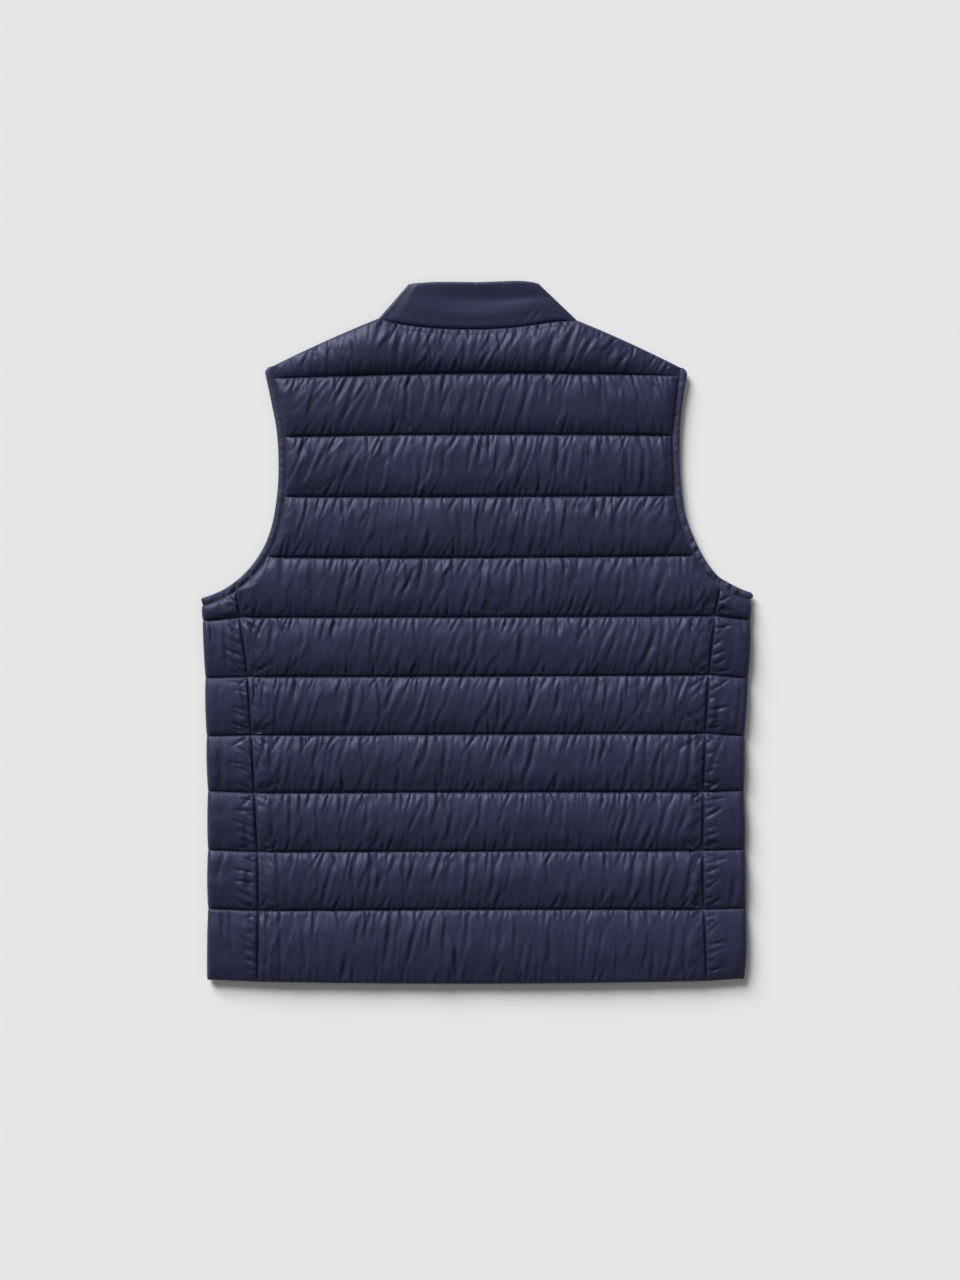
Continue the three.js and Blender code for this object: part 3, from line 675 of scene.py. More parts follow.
def bands(tree, pitch, direction):
    """Even waves of a pitch in millimetres, as a height from 0 to 1."""
    wave = add_node(tree, "ShaderNodeTexWave", scale=2 * math.pi / pitch / 20, bands_direction=direction)
    tree.links.new(place_coordinates(tree), wave.inputs["Vector"])
    return wave.outputs["Fac"]


def product(tree, first, second):
    node = add_node(tree, "ShaderNodeMath", operation="MULTIPLY")
    tree.links.new(first, node.inputs[0])
    tree.links.new(second, node.inputs[1])
    return node.outputs[0]


def weave(pitch):
    """Threads over and under each other."""
    return lambda tree: product(tree, bands(tree, pitch, "X"), bands(tree, pitch, "Y"))


def twist(tree):
    return bands(tree, THREAD_TWIST, "DIAGONAL")


def pinches(tree):
    """The small pinch that each stitch makes in the cloth beside its line."""
    near = add_node(tree, "ShaderNodeAttribute", attribute_name="beside_stitches")
    return product(tree, near.outputs["Fac"], bands(tree, STITCH_PITCH, "X"))


def bump(tree, height, distance, strength, before):
    """A bump of a real depth in millimetres, on top of another one."""
    node = add_node(tree, "ShaderNodeBump", strength=strength, distance=distance * MM)
    tree.links.new(height, node.inputs["Height"])
    if before is not None:
        tree.links.new(before, node.inputs["Normal"])
    return node.outputs["Normal"]


def mapped(tree, value, low, high):
    """A value from 0 to 1 brought between low and high."""
    node = add_node(tree, "ShaderNodeMapRange", from_min=0.25, from_max=0.75, to_min=low, to_max=high)
    tree.links.new(value, node.inputs["Value"])
    return node.outputs["Result"]


def two_tones(tree, value, dark, light):
    """A colour between two tones."""
    ramp = tree.nodes.new("ShaderNodeValToRGB")
    for element, position, tone in zip(ramp.color_ramp.elements, (0.3, 0.7), (dark, light)):
        element.position = position
        element.color = (*tone, 1)
    tree.links.new(value, ramp.inputs["Fac"])
    return ramp.outputs["Color"]


def make_material(name, color, roughness, tones, rough=None, relief=(), **finish):
    """A material. Its tones are a noise and two colours, its rough a noise and two values, and each row of
    its relief a height, a depth in millimetres and a strength. Plain numbers go on the shader itself."""
    material = bpy.data.materials.new(name)
    material.use_nodes = True
    tree = material.node_tree
    shader = tree.nodes["Principled BSDF"]
    shader.inputs["Base Color"].default_value = (*color, 1)
    shader.inputs["Roughness"].default_value = roughness
    shader.inputs["Metallic"].default_value = finish.get("metallic", 0.0)
    shader.inputs["Specular IOR Level"].default_value = finish.get("gloss", 0.5)
    shader.inputs["Specular Tint"].default_value = (*finish.get("tint", (1, 1, 1)), 1)
    shader.inputs["Sheen Weight"].default_value = finish.get("sheen", 0.0)
    shader.inputs["Sheen Roughness"].default_value = 0.45
    tone, dark, light = tones
    tree.links.new(two_tones(tree, tone(tree), dark, light), shader.inputs["Base Color"])
    if rough:
        value, low, high = rough
        tree.links.new(mapped(tree, value(tree), low, high), shader.inputs["Roughness"])
    normal = None
    for height, depth, strength in relief:
        normal = bump(tree, height(tree), depth, strength, normal)
    if relief:
        tree.links.new(normal, shader.inputs["Normal"])
    return material


# The shell is smooth, closely woven cloth with a soft gloss, finely crinkled. The collar's is drawn smooth.
NAVY = (0.019, 0.022, 0.054)
NAVY_TONES = ((0.0154, 0.0181, 0.0444), (0.0182, 0.0209, 0.052))
SHELL = make_material(
    "vest_shell",
    NAVY,
    0.48,
    tones=(noise(0.018, detail=4), *NAVY_TONES),
    rough=(noise(0.09), 0.44, 0.53),
    relief=[
        (creased(0.09, 14), -0.9, 0.6),
        (creased(0.12, -26), -0.6, 0.6),
        (noise(0.5, stretch=(1, 0.6, 1), distortion=0.5), 0.25, 0.5),
        (pinches, 0.5, 0.8),
        (weave(0.42), 0.03, 0.5),
    ],
    sheen=0.04,
    gloss=0.3,
    tint=NAVY_GLOSS,
)
COLLAR_CLOTH = make_material(
    "vest_collar",
    NAVY,
    0.48,
    tones=(noise(0.02, detail=4), *NAVY_TONES),
    rough=(noise(0.09), 0.44, 0.52),
    relief=[(noise(0.12, stretch=(0.6, 1, 1)), 0.25, 0.5), (weave(0.42), 0.03, 0.5)],
    sheen=0.04,
    gloss=0.3,
    tint=NAVY_GLOSS,
)
# A matt ribbon, finely ribbed.
RIBBON = make_material(
    "vest_binding",
    (0.027, 0.031, 0.068),
    0.6,
    tones=(noise(0.06, detail=4), (0.023, 0.027, 0.059), (0.031, 0.036, 0.077)),
    rough=(noise(0.2), 0.55, 0.7),
    relief=[(noise(0.5), 0.25, 0.6), (weave(0.55), 0.05, 0.6)],
    sheen=0.1,
    gloss=0.4,
    tint=NAVY_GLOSS,
)
# The zip's tape, closely woven of matt thread.
TAPE = make_material(
    "vest_tape",
    (0.02, 0.023, 0.045),
    0.8,
    tones=(noise(0.15), (0.017, 0.02, 0.04), (0.024, 0.027, 0.052)),
    relief=[(weave(0.7), 0.12, 0.8)],
    sheen=0.2,
)
THREAD = make_material(
    "vest_thread",
    (0.016, 0.018, 0.036),
    0.65,
    tones=(noise(0.3), (0.008, 0.009, 0.018), (0.013, 0.014, 0.028)),
    relief=[(twist, 0.08, 0.8)],
    sheen=0.2,
)
# The zip's moulded teeth, faintly grained.
PLASTIC = make_material(
    "vest_zip_chain",
    (0.014, 0.016, 0.028),
    0.4,
    tones=(noise(0.4), (0.012, 0.014, 0.025), (0.017, 0.019, 0.033)),
    rough=(noise(1.5), 0.34, 0.48),
    relief=[(noise(2.5), 0.04, 0.6)],
)
# The slider's lacquered metal, rubbed a little.
METAL = make_material(
    "vest_zip_slider",
    (0.07, 0.073, 0.09),
    0.35,
    tones=(noise(0.6), (0.06, 0.063, 0.078), (0.09, 0.093, 0.11)),
    rough=(noise(1.2), 0.28, 0.45),
    relief=[(noise(3), 0.03, 0.5)],
    metallic=0.8,
)
PALE_GREY = (0.8, 0.8, 0.8)
FLOOR = make_material("pale_floor", PALE_GREY, 0.85, tones=(noise(0.01), PALE_GREY, (0.81, 0.81, 0.81)))


# The back.
def back_plan():
    """The back's grid in plan, with the channel and the share of its height for each row."""
    channels, shares = channel_rows(CHANNELS, ROWS_IN_CHANNEL)
    across = np.linspace(0, 1, BACK_COLUMNS_BLOWN)
    tips = [ARMHOLES[side]["panel"][-1, 0] for side in ("left", "right")]
    plan = np.empty((len(channels), len(across), 2))
    room = np.empty((len(channels), len(across)))
    for r, (channel, within) in enumerate(zip(channels, shares)):
        lower = line_height(channel, across)
        if channel < CHANNELS - 1:
            upper = line_height(channel + 1, across)
            y = mix(lower, upper, within)
            x = mix(panel_edge("left", y), panel_edge("right", y), across)
        else:
            below = mix(panel_edge("left", lower), panel_edge("right", lower), across)
            above = mix(tips[0], tips[1], across)
            upper = back_top(above)
            x, y = mix(below, above, within), mix(lower, upper, within)
        plan[r] = np.stack([x, y], axis=1)
        room[r] = upper - lower
    return plan, room, channels, shares


def swollen(plan, room, channel, share, rng, loft, leans):
    """The filled channels before they are blown up, with their folds and gathers set out."""
    rows, columns = plan.shape[:2]
    shares = np.repeat(share[:, None], columns, axis=1)
    arc = 4 * shares * (1 - shares)
    high = loft * arc * np.sqrt(np.clip(room / FULL_LOFT_HEIGHT, 0, 1))
    for number in np.unique(channel):
        these = channel == number
        x = plan[these][..., 0]
        envelope = np.sqrt(channel_rise(shares[these]))
        high[these] += folds(x, shares[these], room[these], rng, leans_of(leans, number)) * envelope
        for part in (shares[these], 1 - shares[these]):
            away = room[these] * part
            gathers = ripple(x - 0.12 * away, 5.5, rng)
            high[these] += 0.5 * gathers * np.exp(-away / 10) * envelope
    return np.concatenate([plan, np.maximum(high, 0)[..., None]], axis=2)


def sewn_down(share, columns):
    """Where a grid of channels is held: on every line and along its border."""
    held = np.zeros((len(share), columns), bool)
    held[(share == 0) | (share == 1)] = True
    held[:, [0, -1]] = True
    return held


def small_folds(cloth, channel, shares, room, rng):
    """Crinkles over each channel of the back, and fine gathers beside each line of stitching."""
    away_low, away_high = room * shares, room * (1 - shares)
    nearest = np.minimum(away_low, away_high)
    envelope = 1 - np.exp(-nearest / 1.2)
    place = np.linspace(0, 1, BACK_COLUMNS)[None, :]
    rise = np.zeros_like(shares)
    for number in range(CHANNELS):
        these = channel == number
        leans = leans_of(FOLD_LEAN, number)
        x, y = cloth[these][..., 0], cloth[these][..., 1]
        upright = x - lean_at(place, leans) * (shares[these] - 0.5)
        high = crinkles(upright, y, rng) * (1 - np.exp(-nearest[these] / 3))
        high += lapped_folds(x, shares[these], room[these], rng, leans) * (1 - np.exp(-nearest[these] / 2))
        for away, up in ((away_low[these], True), (away_high[these], False)):
            high += envelope[these] * beside_line(x, away, leans, up, rng)
            for pitch, size, reach in ((2.2, 0.18, 3), (4.2, 0.25, 6)):
                waves = ripple(x + 0.15 * away, pitch, rng) * (0.6 + 0.5 * ripple(x, 31, rng))
                high += envelope[these] * size * waves * np.exp(-away / reach)
        rise[these] = high
    return rise


def make_back():
    rng = draws("back")
    plan, room, channel, share = back_plan()
    start = swollen(plan, room, channel, share, rng, BACK_LOFT * 0.8, FOLD_LEAN)
    held = sewn_down(share, plan.shape[1])
    start[held, 2] = 0
    cloth = resample(blow_up(start, held, excess=(1.035, 1.035)), BACK_COLUMNS)
    room = resample(room[..., None], BACK_COLUMNS)[..., 0]
    shares = np.repeat(share[:, None], BACK_COLUMNS, axis=1)
    cloth[..., 2] += small_folds(cloth, channel, shares, room, rng)

    # The lines of stitching lie in narrow hollows, and so does the topstitching along the neck.
    away_low, away_high = room * shares, room * (1 - shares)
    nearest = np.minimum(away_low, away_high)
    free = ~sewn_down(share, BACK_COLUMNS)
    full = np.clip(room / FOLDED_HEIGHT, 0, 1)
    z = BACK_HIGHEST * np.tanh(np.maximum(cloth[..., 2], 0) / BACK_HIGHEST) * full**0.8
    z += STITCH_DEPTH * (1 - np.exp(-nearest / STITCH_HOLLOW)) * np.clip(room / 40, 0, 1) * free
    top = channel == CHANNELS - 1
    top_x = cloth[top][..., 0]
    on_neck = smoothstep(-96, -88, top_x) * smoothstep(100, 92, top_x)
    z[top] -= 1.5 * np.exp(-(((away_high[top] - NECK_TOPSTITCH) / 1.1) ** 2)) * on_neck

    # It falls off towards the side seams, and the top channel is tilted towards the collar.
    place = np.linspace(0, 1, BACK_COLUMNS)[None, :]
    beside_seam = np.minimum(place, 1 - place) * BACK_WIDTH
    z *= round_off(beside_seam / BACK_TAPER)
    tilt = TOP_TILT * top[:, None] * full
    z += tilt * (1 - shares) * (1 - np.exp(-away_low / TILT_REACH))
    for away in (place * BACK_WIDTH, (1 - place) * BACK_WIDTH):
        puckers = wedges("back_seam", cloth[..., 1], away, lambda place: 0.1, rng)
        z += puckers * (1 - np.exp(-nearest / 3)) * free
    for row in [*zip(*CREASES.values()), *SEAM_FANS["left"], *SEAM_FANS["right"]]:
        z -= crease(cloth[..., 0], cloth[..., 1], *row) * free
    z = np.maximum(z, 0)

    # The lower side of each channel hangs over its line a little.
    cloth[..., 1] -= 1.3 * np.exp(-away_low / 2.5) * (1 - np.exp(-away_low / 0.8)) * free
    base = np.full_like(shares, SEAM_THICKNESS)
    base[channel == 0] = mix(HEM_EDGE_THICKNESS, SEAM_THICKNESS, smoothstep(0, 0.2, shares[channel == 0]))
    on_seam = smoothstep(60, 44, cloth[..., 1])
    z += SEAM_LIFT * on_seam * channel_rise(shares) * np.exp(-beside_seam / SEAM_LIFT_REACH)
    cloth[..., 2] = z + UPPER_Z + base
    piece = sheet_on_flat("back_cloth", cloth, UPPER_Z, SHELL)
    mark_stitches(piece, nearest)
    return cloth, piece


# Single creases of the shoulders and beside the armholes, their angles in degrees from the garment's width.
CREASES = table(
    "x y length angle width depth",
    [
        (-163, 280, 15, -70, 1.5, 2.2),
        (-155, 276, 9, -60, 1.3, 1.2),
        (-124, 289, 17, -62, 1.5, 1.3),
        (-118, 291, 14, -58, 1.4, 1.0),
        (-146, 268, 16, -40, 1.2, 0.6),
        (157, 281, 15, 75, 1.5, 2.0),
        (146, 284, 12, 60, 1.4, 1.0),
        (-178, 112, 42, -66, 1.2, 0.9),
        (-168, 104, 30, -58, 1.1, 0.7),
        (-183, 222, 26, 42, 1.6, 1.0),
        (-176, 228, 22, 50, 1.4, 0.9),
        (182, 168, 40, -58, 1.4, 1.1),
        (190, 110, 34, -50, 1.4, 1.0),
    ],
)


def seam_fans(side):
    """Creases that run out of the side seam: fans where a line meets it, and some that cross it between."""
    rng = draws("fans_" + side)
    rows = []

    def run_out(y, out, angle, length, width, depth):
        """A crease from the seam at a height, out to one side, its angle rising from the horizontal."""
        way = math.radians(angle + rng.normal(0, 6))
        middle = length / 2 + 0.5
        x = float(seam_at(side, y)) + out * math.cos(way) * middle
        turned = math.degrees(math.atan2(math.sin(way), out * math.cos(way)))
        rows.append((x, y + math.sin(way) * middle, length, turned, width, depth))

    outward = OUTWARD[side]
    for number in range(1, SIDE_CHANNELS):
        y = LINES[side][number]
        for angle in (-56, -34, 26, 50):
            run_out(y, -outward, angle, rng.uniform(14, 36), rng.uniform(1.7, 2.5), rng.uniform(0.9, 2.3))
        for angle in (-40, 22, 44):
            run_out(y, outward, angle, rng.uniform(10, 24), rng.uniform(1.7, 2.5), rng.uniform(0.9, 2.3))
    for y in np.arange(LINES[side][0] + 9, 44, 9):
        angle = rng.uniform(10, 42)
        run_out(y, outward, angle, rng.uniform(9, 26), rng.uniform(1.7, 2.6), rng.uniform(1.0, 2.3))
        run_out(y, -outward, -angle, rng.uniform(9, 26), rng.uniform(1.7, 2.6), rng.uniform(0.8, 1.8))
    return rows


SEAM_FANS = {side: seam_fans(side) for side in ("left", "right")}


def crease(x, y, middle_x, middle_y, length, angle, width, depth):
    """How deep a straight crease is at each point, its angle in degrees from the garment's width."""
    way = math.radians(angle)
    along = (x - middle_x) * math.cos(way) + (y - middle_y) * math.sin(way)
    aside = (y - middle_y) * math.cos(way) - (x - middle_x) * math.sin(way)
    return depth * np.clip(1 - np.abs(aside) / width, 0, 1) * np.clip(1 - (2 * along / length) ** 2, 0, 1)


# The side panels.
def make_side(side):
    rng = draws("side_" + side)
    outward = OUTWARD[side]
    turn = math.pi * (LAYER_GAP / 2 + FOLD_THICKNESS)
    panel = ARMHOLES[side]["panel"]
    seam_x = lambda y: seam_at(side, y) + outward * PIECE_GAP / 2
    leg_at = lambda y: np.abs(fold_axis_at(side, y) - seam_x(y))

    # The wall is meshed unrolled: s runs from the back's seam over the fold to the front's seam.
    channel, share = channel_rows(SIDE_CHANNELS, ROWS_IN_CHANNEL)
    leg = float(leg_at(np.array(-100.0)))
    whole = 2 * leg + turn
    steps = int(whole / SIDE_STEP) + 1
    s = np.linspace(0, whole, steps)
    across = np.clip(np.minimum(s, whole - s) / leg, 0, 1)
    before = panel[0] - np.outer(np.arange(20, 0, -1.0), ARMHOLES[side]["along"][0])
    upper_edge = np.vstack([before, panel[: CORNER[side] + 1]])
    order = np.argsort(upper_edge[:, 0])

    def line_y(number):
        return mix(LINES[side][number], LINES[side + "_fold"][number], across)

    def top_y():
        y = np.full(steps, panel[CORNER[side], 1])
        for _ in range(12):
            x = mix(seam_x(y), fold_axis_at(side, y), across)
            over = np.clip(np.minimum(s, whole - s) - leg, 0, None)
            x = x + outward * 5 * np.sin(np.clip(over / turn * np.pi, 0, np.pi / 2))
            y = np.interp(x, upper_edge[order, 0], upper_edge[order, 1])
        return y

    y = np.empty((len(share), steps))
    room = np.empty_like(y)
    for r, (number, within) in enumerate(zip(channel, share)):
        lower = line_y(number)
        upper = line_y(number + 1) if number + 1 < SIDE_CHANNELS else top_y()
        y[r] = mix(lower, upper, within)
        room[r] = upper - lower
    plan = np.stack([np.broadcast_to(s, y.shape), y], axis=2)
    leans = {name: np.zeros(SIDE_CHANNELS) for name in ("left", "middle", "right")}
    start = swollen(plan, room, channel, share, rng, SIDE_LOFT * 0.75, leans)

    # Short puckers that run out from the two seams.
    for seam in (0.0, whole):
        away = np.abs(plan[..., 0] - seam)
        waves = ripple(plan[..., 1] + 0.35 * away, 5.0, rng)
        start[..., 2] += 1.3 * waves * np.exp(-away / 14) * np.sqrt(channel_rise(share))[:, None]
    held = sewn_down(share, steps)
    start[held, 2] = 0
    cloth = blow_up(start, held, excess=(1.02, 1.05))

    # The rows are doubled, and the folds are added as on the back.
    count = len(share)
    finer = lambda grid: resample(np.swapaxes(grid, 0, 1), 2 * count - 1).swapaxes(0, 1)
    cloth, plan, room = finer(cloth), finer(plan), finer(room[..., None])[..., 0]
    channel = np.append(np.repeat(channel[:-1], 2), channel[-1])
    share = np.interp(np.arange(len(channel)) / 2, np.arange(count), share + channel[::2]) - channel
    shares = np.repeat(share[:, None], steps, axis=1)
    along, up_seam = plan[..., 0], plan[..., 1]
    high = np.maximum(cloth[..., 2], 0)
    highest = SIDE_LOFT * 1.15
    high = highest * np.tanh(high / highest)
    from_line = np.minimum(room * shares, room * (1 - shares))
    for number in range(SIDE_CHANNELS):
        these = channel == number
        laps = lapped_folds(along[these], shares[these], room[these], rng, (6, 6, 6))
        small = crinkles(along[these] * 0.8 + 3, up_seam[these] * 1.3, rng)
        high[these] += (0.2 * laps + 0.5 * small) * (1 - np.exp(-from_line[these] / 3))
    for away in (along, whole - along):
        high += wedges("side_seam", up_seam, away, lambda place: -0.2, rng)
    from_seam = np.minimum(along, whole - along)
    high *= round_off(from_seam / SIDE_TAPER)
    for row in SEAM_FANS[side]:
        high -= crease(seam_x(up_seam) + outward * along, up_seam, *row) * (along < leg)
    high = np.maximum(high, 0)
    high += STITCH_DEPTH * (1 - np.exp(-from_line / STITCH_HOLLOW)) * ~sewn_down(share, steps)
    high += SEAM_LIFT * channel_rise(shares) * np.exp(-from_seam / SEAM_LIFT_REACH)

    def wall(s_at, y_at, offset):
        """A point of the wall, an offset away from its inner face."""
        y_at = np.broadcast_to(y_at, s_at.shape)
        length = leg_at(y_at)
        scaled = np.where(s_at < leg, s_at * length / leg, s_at)
        angle = np.pi / 2 - np.pi * np.clip((s_at - leg) / turn, 0, 1)
        axis = fold_axis_at(side, y_at)
        x = np.where(s_at < leg, seam_x(y_at) + outward * scaled, axis)
        x = np.where(s_at > leg + turn, axis - outward * (s_at - leg - turn) * length / leg, x)
        x = x + outward * (LAYER_GAP / 2 + offset) * np.cos(angle)
        z = MIDDLE_Z + (LAYER_GAP / 2 + offset) * np.sin(angle)
        return np.stack([x, y_at, z], axis=2), angle

    inner, angle = wall(along, up_seam, 0 * high)
    turned = np.sin(angle) ** 2
    below = angle < 0
    base = mix(FOLD_THICKNESS, SEAM_THICKNESS, turned)
    offset = base + high * mix(FOLD_LOFT / SIDE_LOFT, 1, turned)
    pressed = np.minimum(offset, mix(FOLD_THICKNESS + FOLD_LOFT, LOWER_THICKNESS, turned))
    offset = np.where(below, pressed, offset)
    shift = (cloth[..., :2] - plan) * np.where(below, 0.3, 1)[..., None]
    outer, _ = wall(np.clip(along + shift[..., 0], 0, whole), up_seam + shift[..., 1], offset)
    outer[..., 2] = np.maximum(outer[..., 2], 0)
    piece = sheet_between("side_cloth_" + side, outer, inner, SHELL)
    mark_stitches(piece, from_line)
    return outer, piece


# The fronts, flat on the surface with their quilted side down.
def front_neckline(side, inset, steps):
    """A quarter of an ellipse from the zip up to the shoulder's neck point."""
    neck = neck_point(side)
    zip_x = OUTWARD[side] * ZIP_GAP / 2
    reach_x, reach_y = neck[0] - zip_x, FRONT_NECK_DROP
    angle = np.linspace(np.pi / 2, 0, steps)
    away = np.stack([np.cos(angle) / reach_x, -np.sin(angle) / reach_y], axis=1)
    away /= np.linalg.norm(away, axis=1)[:, None]
    line = np.stack([zip_x + reach_x * np.cos(angle), neck[1] - reach_y * np.sin(angle)], axis=1)
    return line - away * inset


def make_front(side):
    rng = draws("front_" + side)
    zip_x = OUTWARD[side] * ZIP_GAP / 2
    neckline = front_neckline(side, 0, 120)
    neck = neck_point(side)
    tip_x = ARMHOLES[side]["panel"][-1, 0]
    shoulder_x = np.linspace(tip_x, neck[0], 60)
    shoulder_y = shoulder_height(side, shoulder_x)
    outer_line = ARMHOLES[side]["panel"][CORNER[side] :]
    low_y = np.linspace(LINES[side][0], outer_line[0, 1], 200)[:-1]
    low_x = panel_edge(side, low_y)
    border_y = np.concatenate([low_y, outer_line[:-1, 1], shoulder_y])
    border_x = np.concatenate([low_x, outer_line[:-1, 0], shoulder_x])
    inner_y = np.concatenate([[LINES["middle"][0]], neckline[:, 1]])
    inner_x = np.concatenate([[zip_x], neckline[:, 0]])

    levels = np.array([*LINES[side], neck[1] - 1.5])
    channel, share = channel_rows(CHANNELS, FRONT_ROWS)
    row_y = mix(levels[channel], levels[channel + 1], share)
    left_x, right_x = np.interp(row_y, border_y, border_x), np.interp(row_y, inner_y, inner_x)
    across = np.linspace(0, 1, FRONT_COLUMNS)[None, :]
    shares = np.repeat(share[:, None], FRONT_COLUMNS, axis=1)
    x = mix(left_x[:, None], right_x[:, None], across)
    hem_drop = (LINES["middle"][0] - LINES[side][0]) * smoothstep(0.75, 0, np.abs(row_y - row_y[0]) / 60)
    y = row_y[:, None] + hem_drop[:, None] * across**1.4
    room = np.full_like(x, CHANNEL_HEIGHT)
    width = np.abs(right_x - left_x)[:, None]
    edge = np.minimum(across, 1 - across) * width
    loft = FRONT_LOFT * channel_rise(shares) * round_off(edge / FRONT_TAPER)
    for number in range(CHANNELS):
        these = channel == number
        if width[these].min() > 30:
            envelope = np.sqrt(channel_rise(shares[these])) * np.clip(edge[these] / FRONT_TAPER, 0, 1)
            small = folds(x[these], shares[these], room[these], rng, (3, 4, 3), depth=(0.3, 1.0))
            loft[these] += small * envelope
    thickness = np.clip(SEAM_THICKNESS + loft, 1.6, LOWER_THICKNESS)
    outer = np.stack([x, y, LOWER_THICKNESS - thickness], axis=2)
    inner = np.stack([x, y, np.full_like(x, LOWER_THICKNESS)], axis=2)
    return sheet_between("front_cloth_" + side, outer, inner, SHELL)


# The collar.
def make_collar():
    """A double band of cloth from one side of the zip round the back of the neck to the other."""
    rng = draws("collar")
    h = np.linspace(0, 1, 30)
    h = h - 0.05 * np.sin(2 * np.pi * h)
    round_high = np.sqrt(np.clip((1 - h) / 0.05, 0, 1))
    full = mix(SEAM_THICKNESS, COLLAR_THICKNESS - 0.6, round_off(h / 0.12)) * mix(0.4, 1, round_high)
    pressed = (SEAM_THICKNESS + 0.7 * np.sin(np.pi * h)) * mix(0.6, 1, round_high)

    # The two folds: their silhouettes run straight from the shoulder's neck point to the collar's top.
    folds_at = {}
    for side in ("left", "right"):
        low = neck_point(side)
        row = 0 if side == "left" else -1
        high = np.array([COLLAR_TOP["x"][row], COLLAR_TOP["y"][row]])
        along = (high - low) / np.linalg.norm(high - low)
        out = np.array([-along[1], along[0]]) if side == "left" else np.array([along[1], -along[0]])
        reach = LAYER_GAP / 2 + pressed
        first = low - out * reach[0]
        seam = smooth(NECKLINE, "x", "y", first[0]) + PIECE_GAP
        start = max(0.0, (seam - first[1]) / (high - low)[1])
        run = 0.3 * start + (1 - 0.3 * start) * h
        folds_at[side] = (low + np.outer(run, high - low) - np.outer(reach, out), out)

    def front_end(side):
        axis, _ = folds_at[side]
        neckline = front_neckline(side, PIECE_GAP, 42)[:-1]
        top = neckline[0] + [0, COLLAR_FRONT_HEIGHT]
        result = []
        for i, point in enumerate(neckline):
            share = i / len(neckline)
            upper = mix(top, axis[-1], share) - np.array([0, 9 * math.sin(math.pi * share)])
            line = point + np.outer(h, upper - point)
            result.append((line, -90, (0, 1), mix(full, pressed, smoothstep(0.8, 1, share))))
        return result

    turn = np.linspace(-90, 90, 19)
    sections = front_end("left")
    sections += [(folds_at["left"][0], angle, folds_at["left"][1], pressed) for angle in turn]
    left, right = folds_at["left"][0], folds_at["right"][0]
    upper = {
        "x": np.concatenate([[left[-1, 0]], COLLAR_TOP["x"][1:-1], [right[-1, 0]]]),
        "y": np.concatenate([[left[-1, 1] + 1], COLLAR_TOP["y"][1:-1], [right[-1, 1] + 1]]),
    }
    steps = 96
    for i in range(1, steps):
        share = i / steps
        low_x, high_x = mix(left[0, 0], right[0, 0], share), mix(left[-1, 0], right[-1, 0], share)
        low = np.array([low_x, float(smooth(NECKLINE, "x", "y", np.array(low_x))) + PIECE_GAP / 2])
        high = np.array([high_x, float(smooth(upper, "x", "y", np.array(high_x)))])
        line = low + np.outer(h, high - low)
        thickness = mix(pressed, full, smoothstep(0, 16, min(share, 1 - share) * 190))
        sections.append((line, 90, (0, 1), thickness))
    sections += [(folds_at["right"][0], angle, folds_at["right"][1], pressed) for angle in turn[::-1]]
    sections += front_end("right")[::-1]

    outer = np.empty((len(h), len(sections), 3))
    inner = np.empty_like(outer)
    middle = np.array([line[len(h) // 2] for line, _, _, _ in sections])
    crinkle = ripple(reach_along(middle), 4.0, rng)
    for k, (line, angle, out, thickness) in enumerate(sections):
        radians = math.radians(angle)
        for target, offset in ((outer, thickness), (inner, 0 * thickness)):
            away = LAYER_GAP / 2 + offset
            target[:, k, :2] = line + np.outer(away * math.cos(radians), np.asarray(out, float))
            target[:, k, 2] = MIDDLE_Z + away * math.sin(radians)
        fine = 0.22 * crinkle[k] * (np.exp(-h / 0.08) * (1 - np.exp(-h / 0.02)) + np.exp(-(1 - h) / 0.07))
        if angle > 60:
            outer[:, k, 2] += fine * math.sin(radians) ** 4 + collar_softness(outer[:, k, 0], h)
    outer[..., 2] = np.maximum(outer[..., 2], 0)
    return sheet_between("collar_cloth", outer, inner, COLLAR_CLOTH)


# Soft hollows and short creases of the collar's back. Heights are shares of the collar's height, and the
# lean is how far each moves to the right over it.
COLLAR_HOLLOWS = table(
    "x width height tall lean depth",
    [
        (0, 62, 0.66, 0.17, 10, -1.5),
        (40, 30, 0.6, 0.1, 0, -0.8),
        (-45, 24, 0.6, 0.3, 10, 1.0),
        (10, 50, 0.3, 0.12, 0, 0.7),
        (52, 2.2, 0.2, 0.16, 34, -0.8),
        (61, 2.0, 0.2, 0.14, 34, -0.9),
        (45, 2.2, 0.16, 0.12, 30, -0.6),
        (36, 2.0, 0.14, 0.1, 26, -0.4),
        (-2, 1.6, 0.95, 0.08, -14, -0.5),
        (25, 1.6, 0.95, 0.07, -14, -0.45),
        (-22, 1.8, 0.96, 0.07, -10, -0.3),
    ],
)


def collar_softness(x, h):
    rise = np.zeros_like(x)
    for middle, width, height, tall, lean, depth in zip(*COLLAR_HOLLOWS.values()):
        u = (x - middle - lean * (h - height)) / width
        v = (h - height) / tall
        rise += depth * np.exp(-u * u - v * v)
    return rise * np.clip((1 - h) / 0.05, 0, 1)


# The bindings.
BINDING_STITCHED = 7  # the row of the ribbon's points that its seam runs along


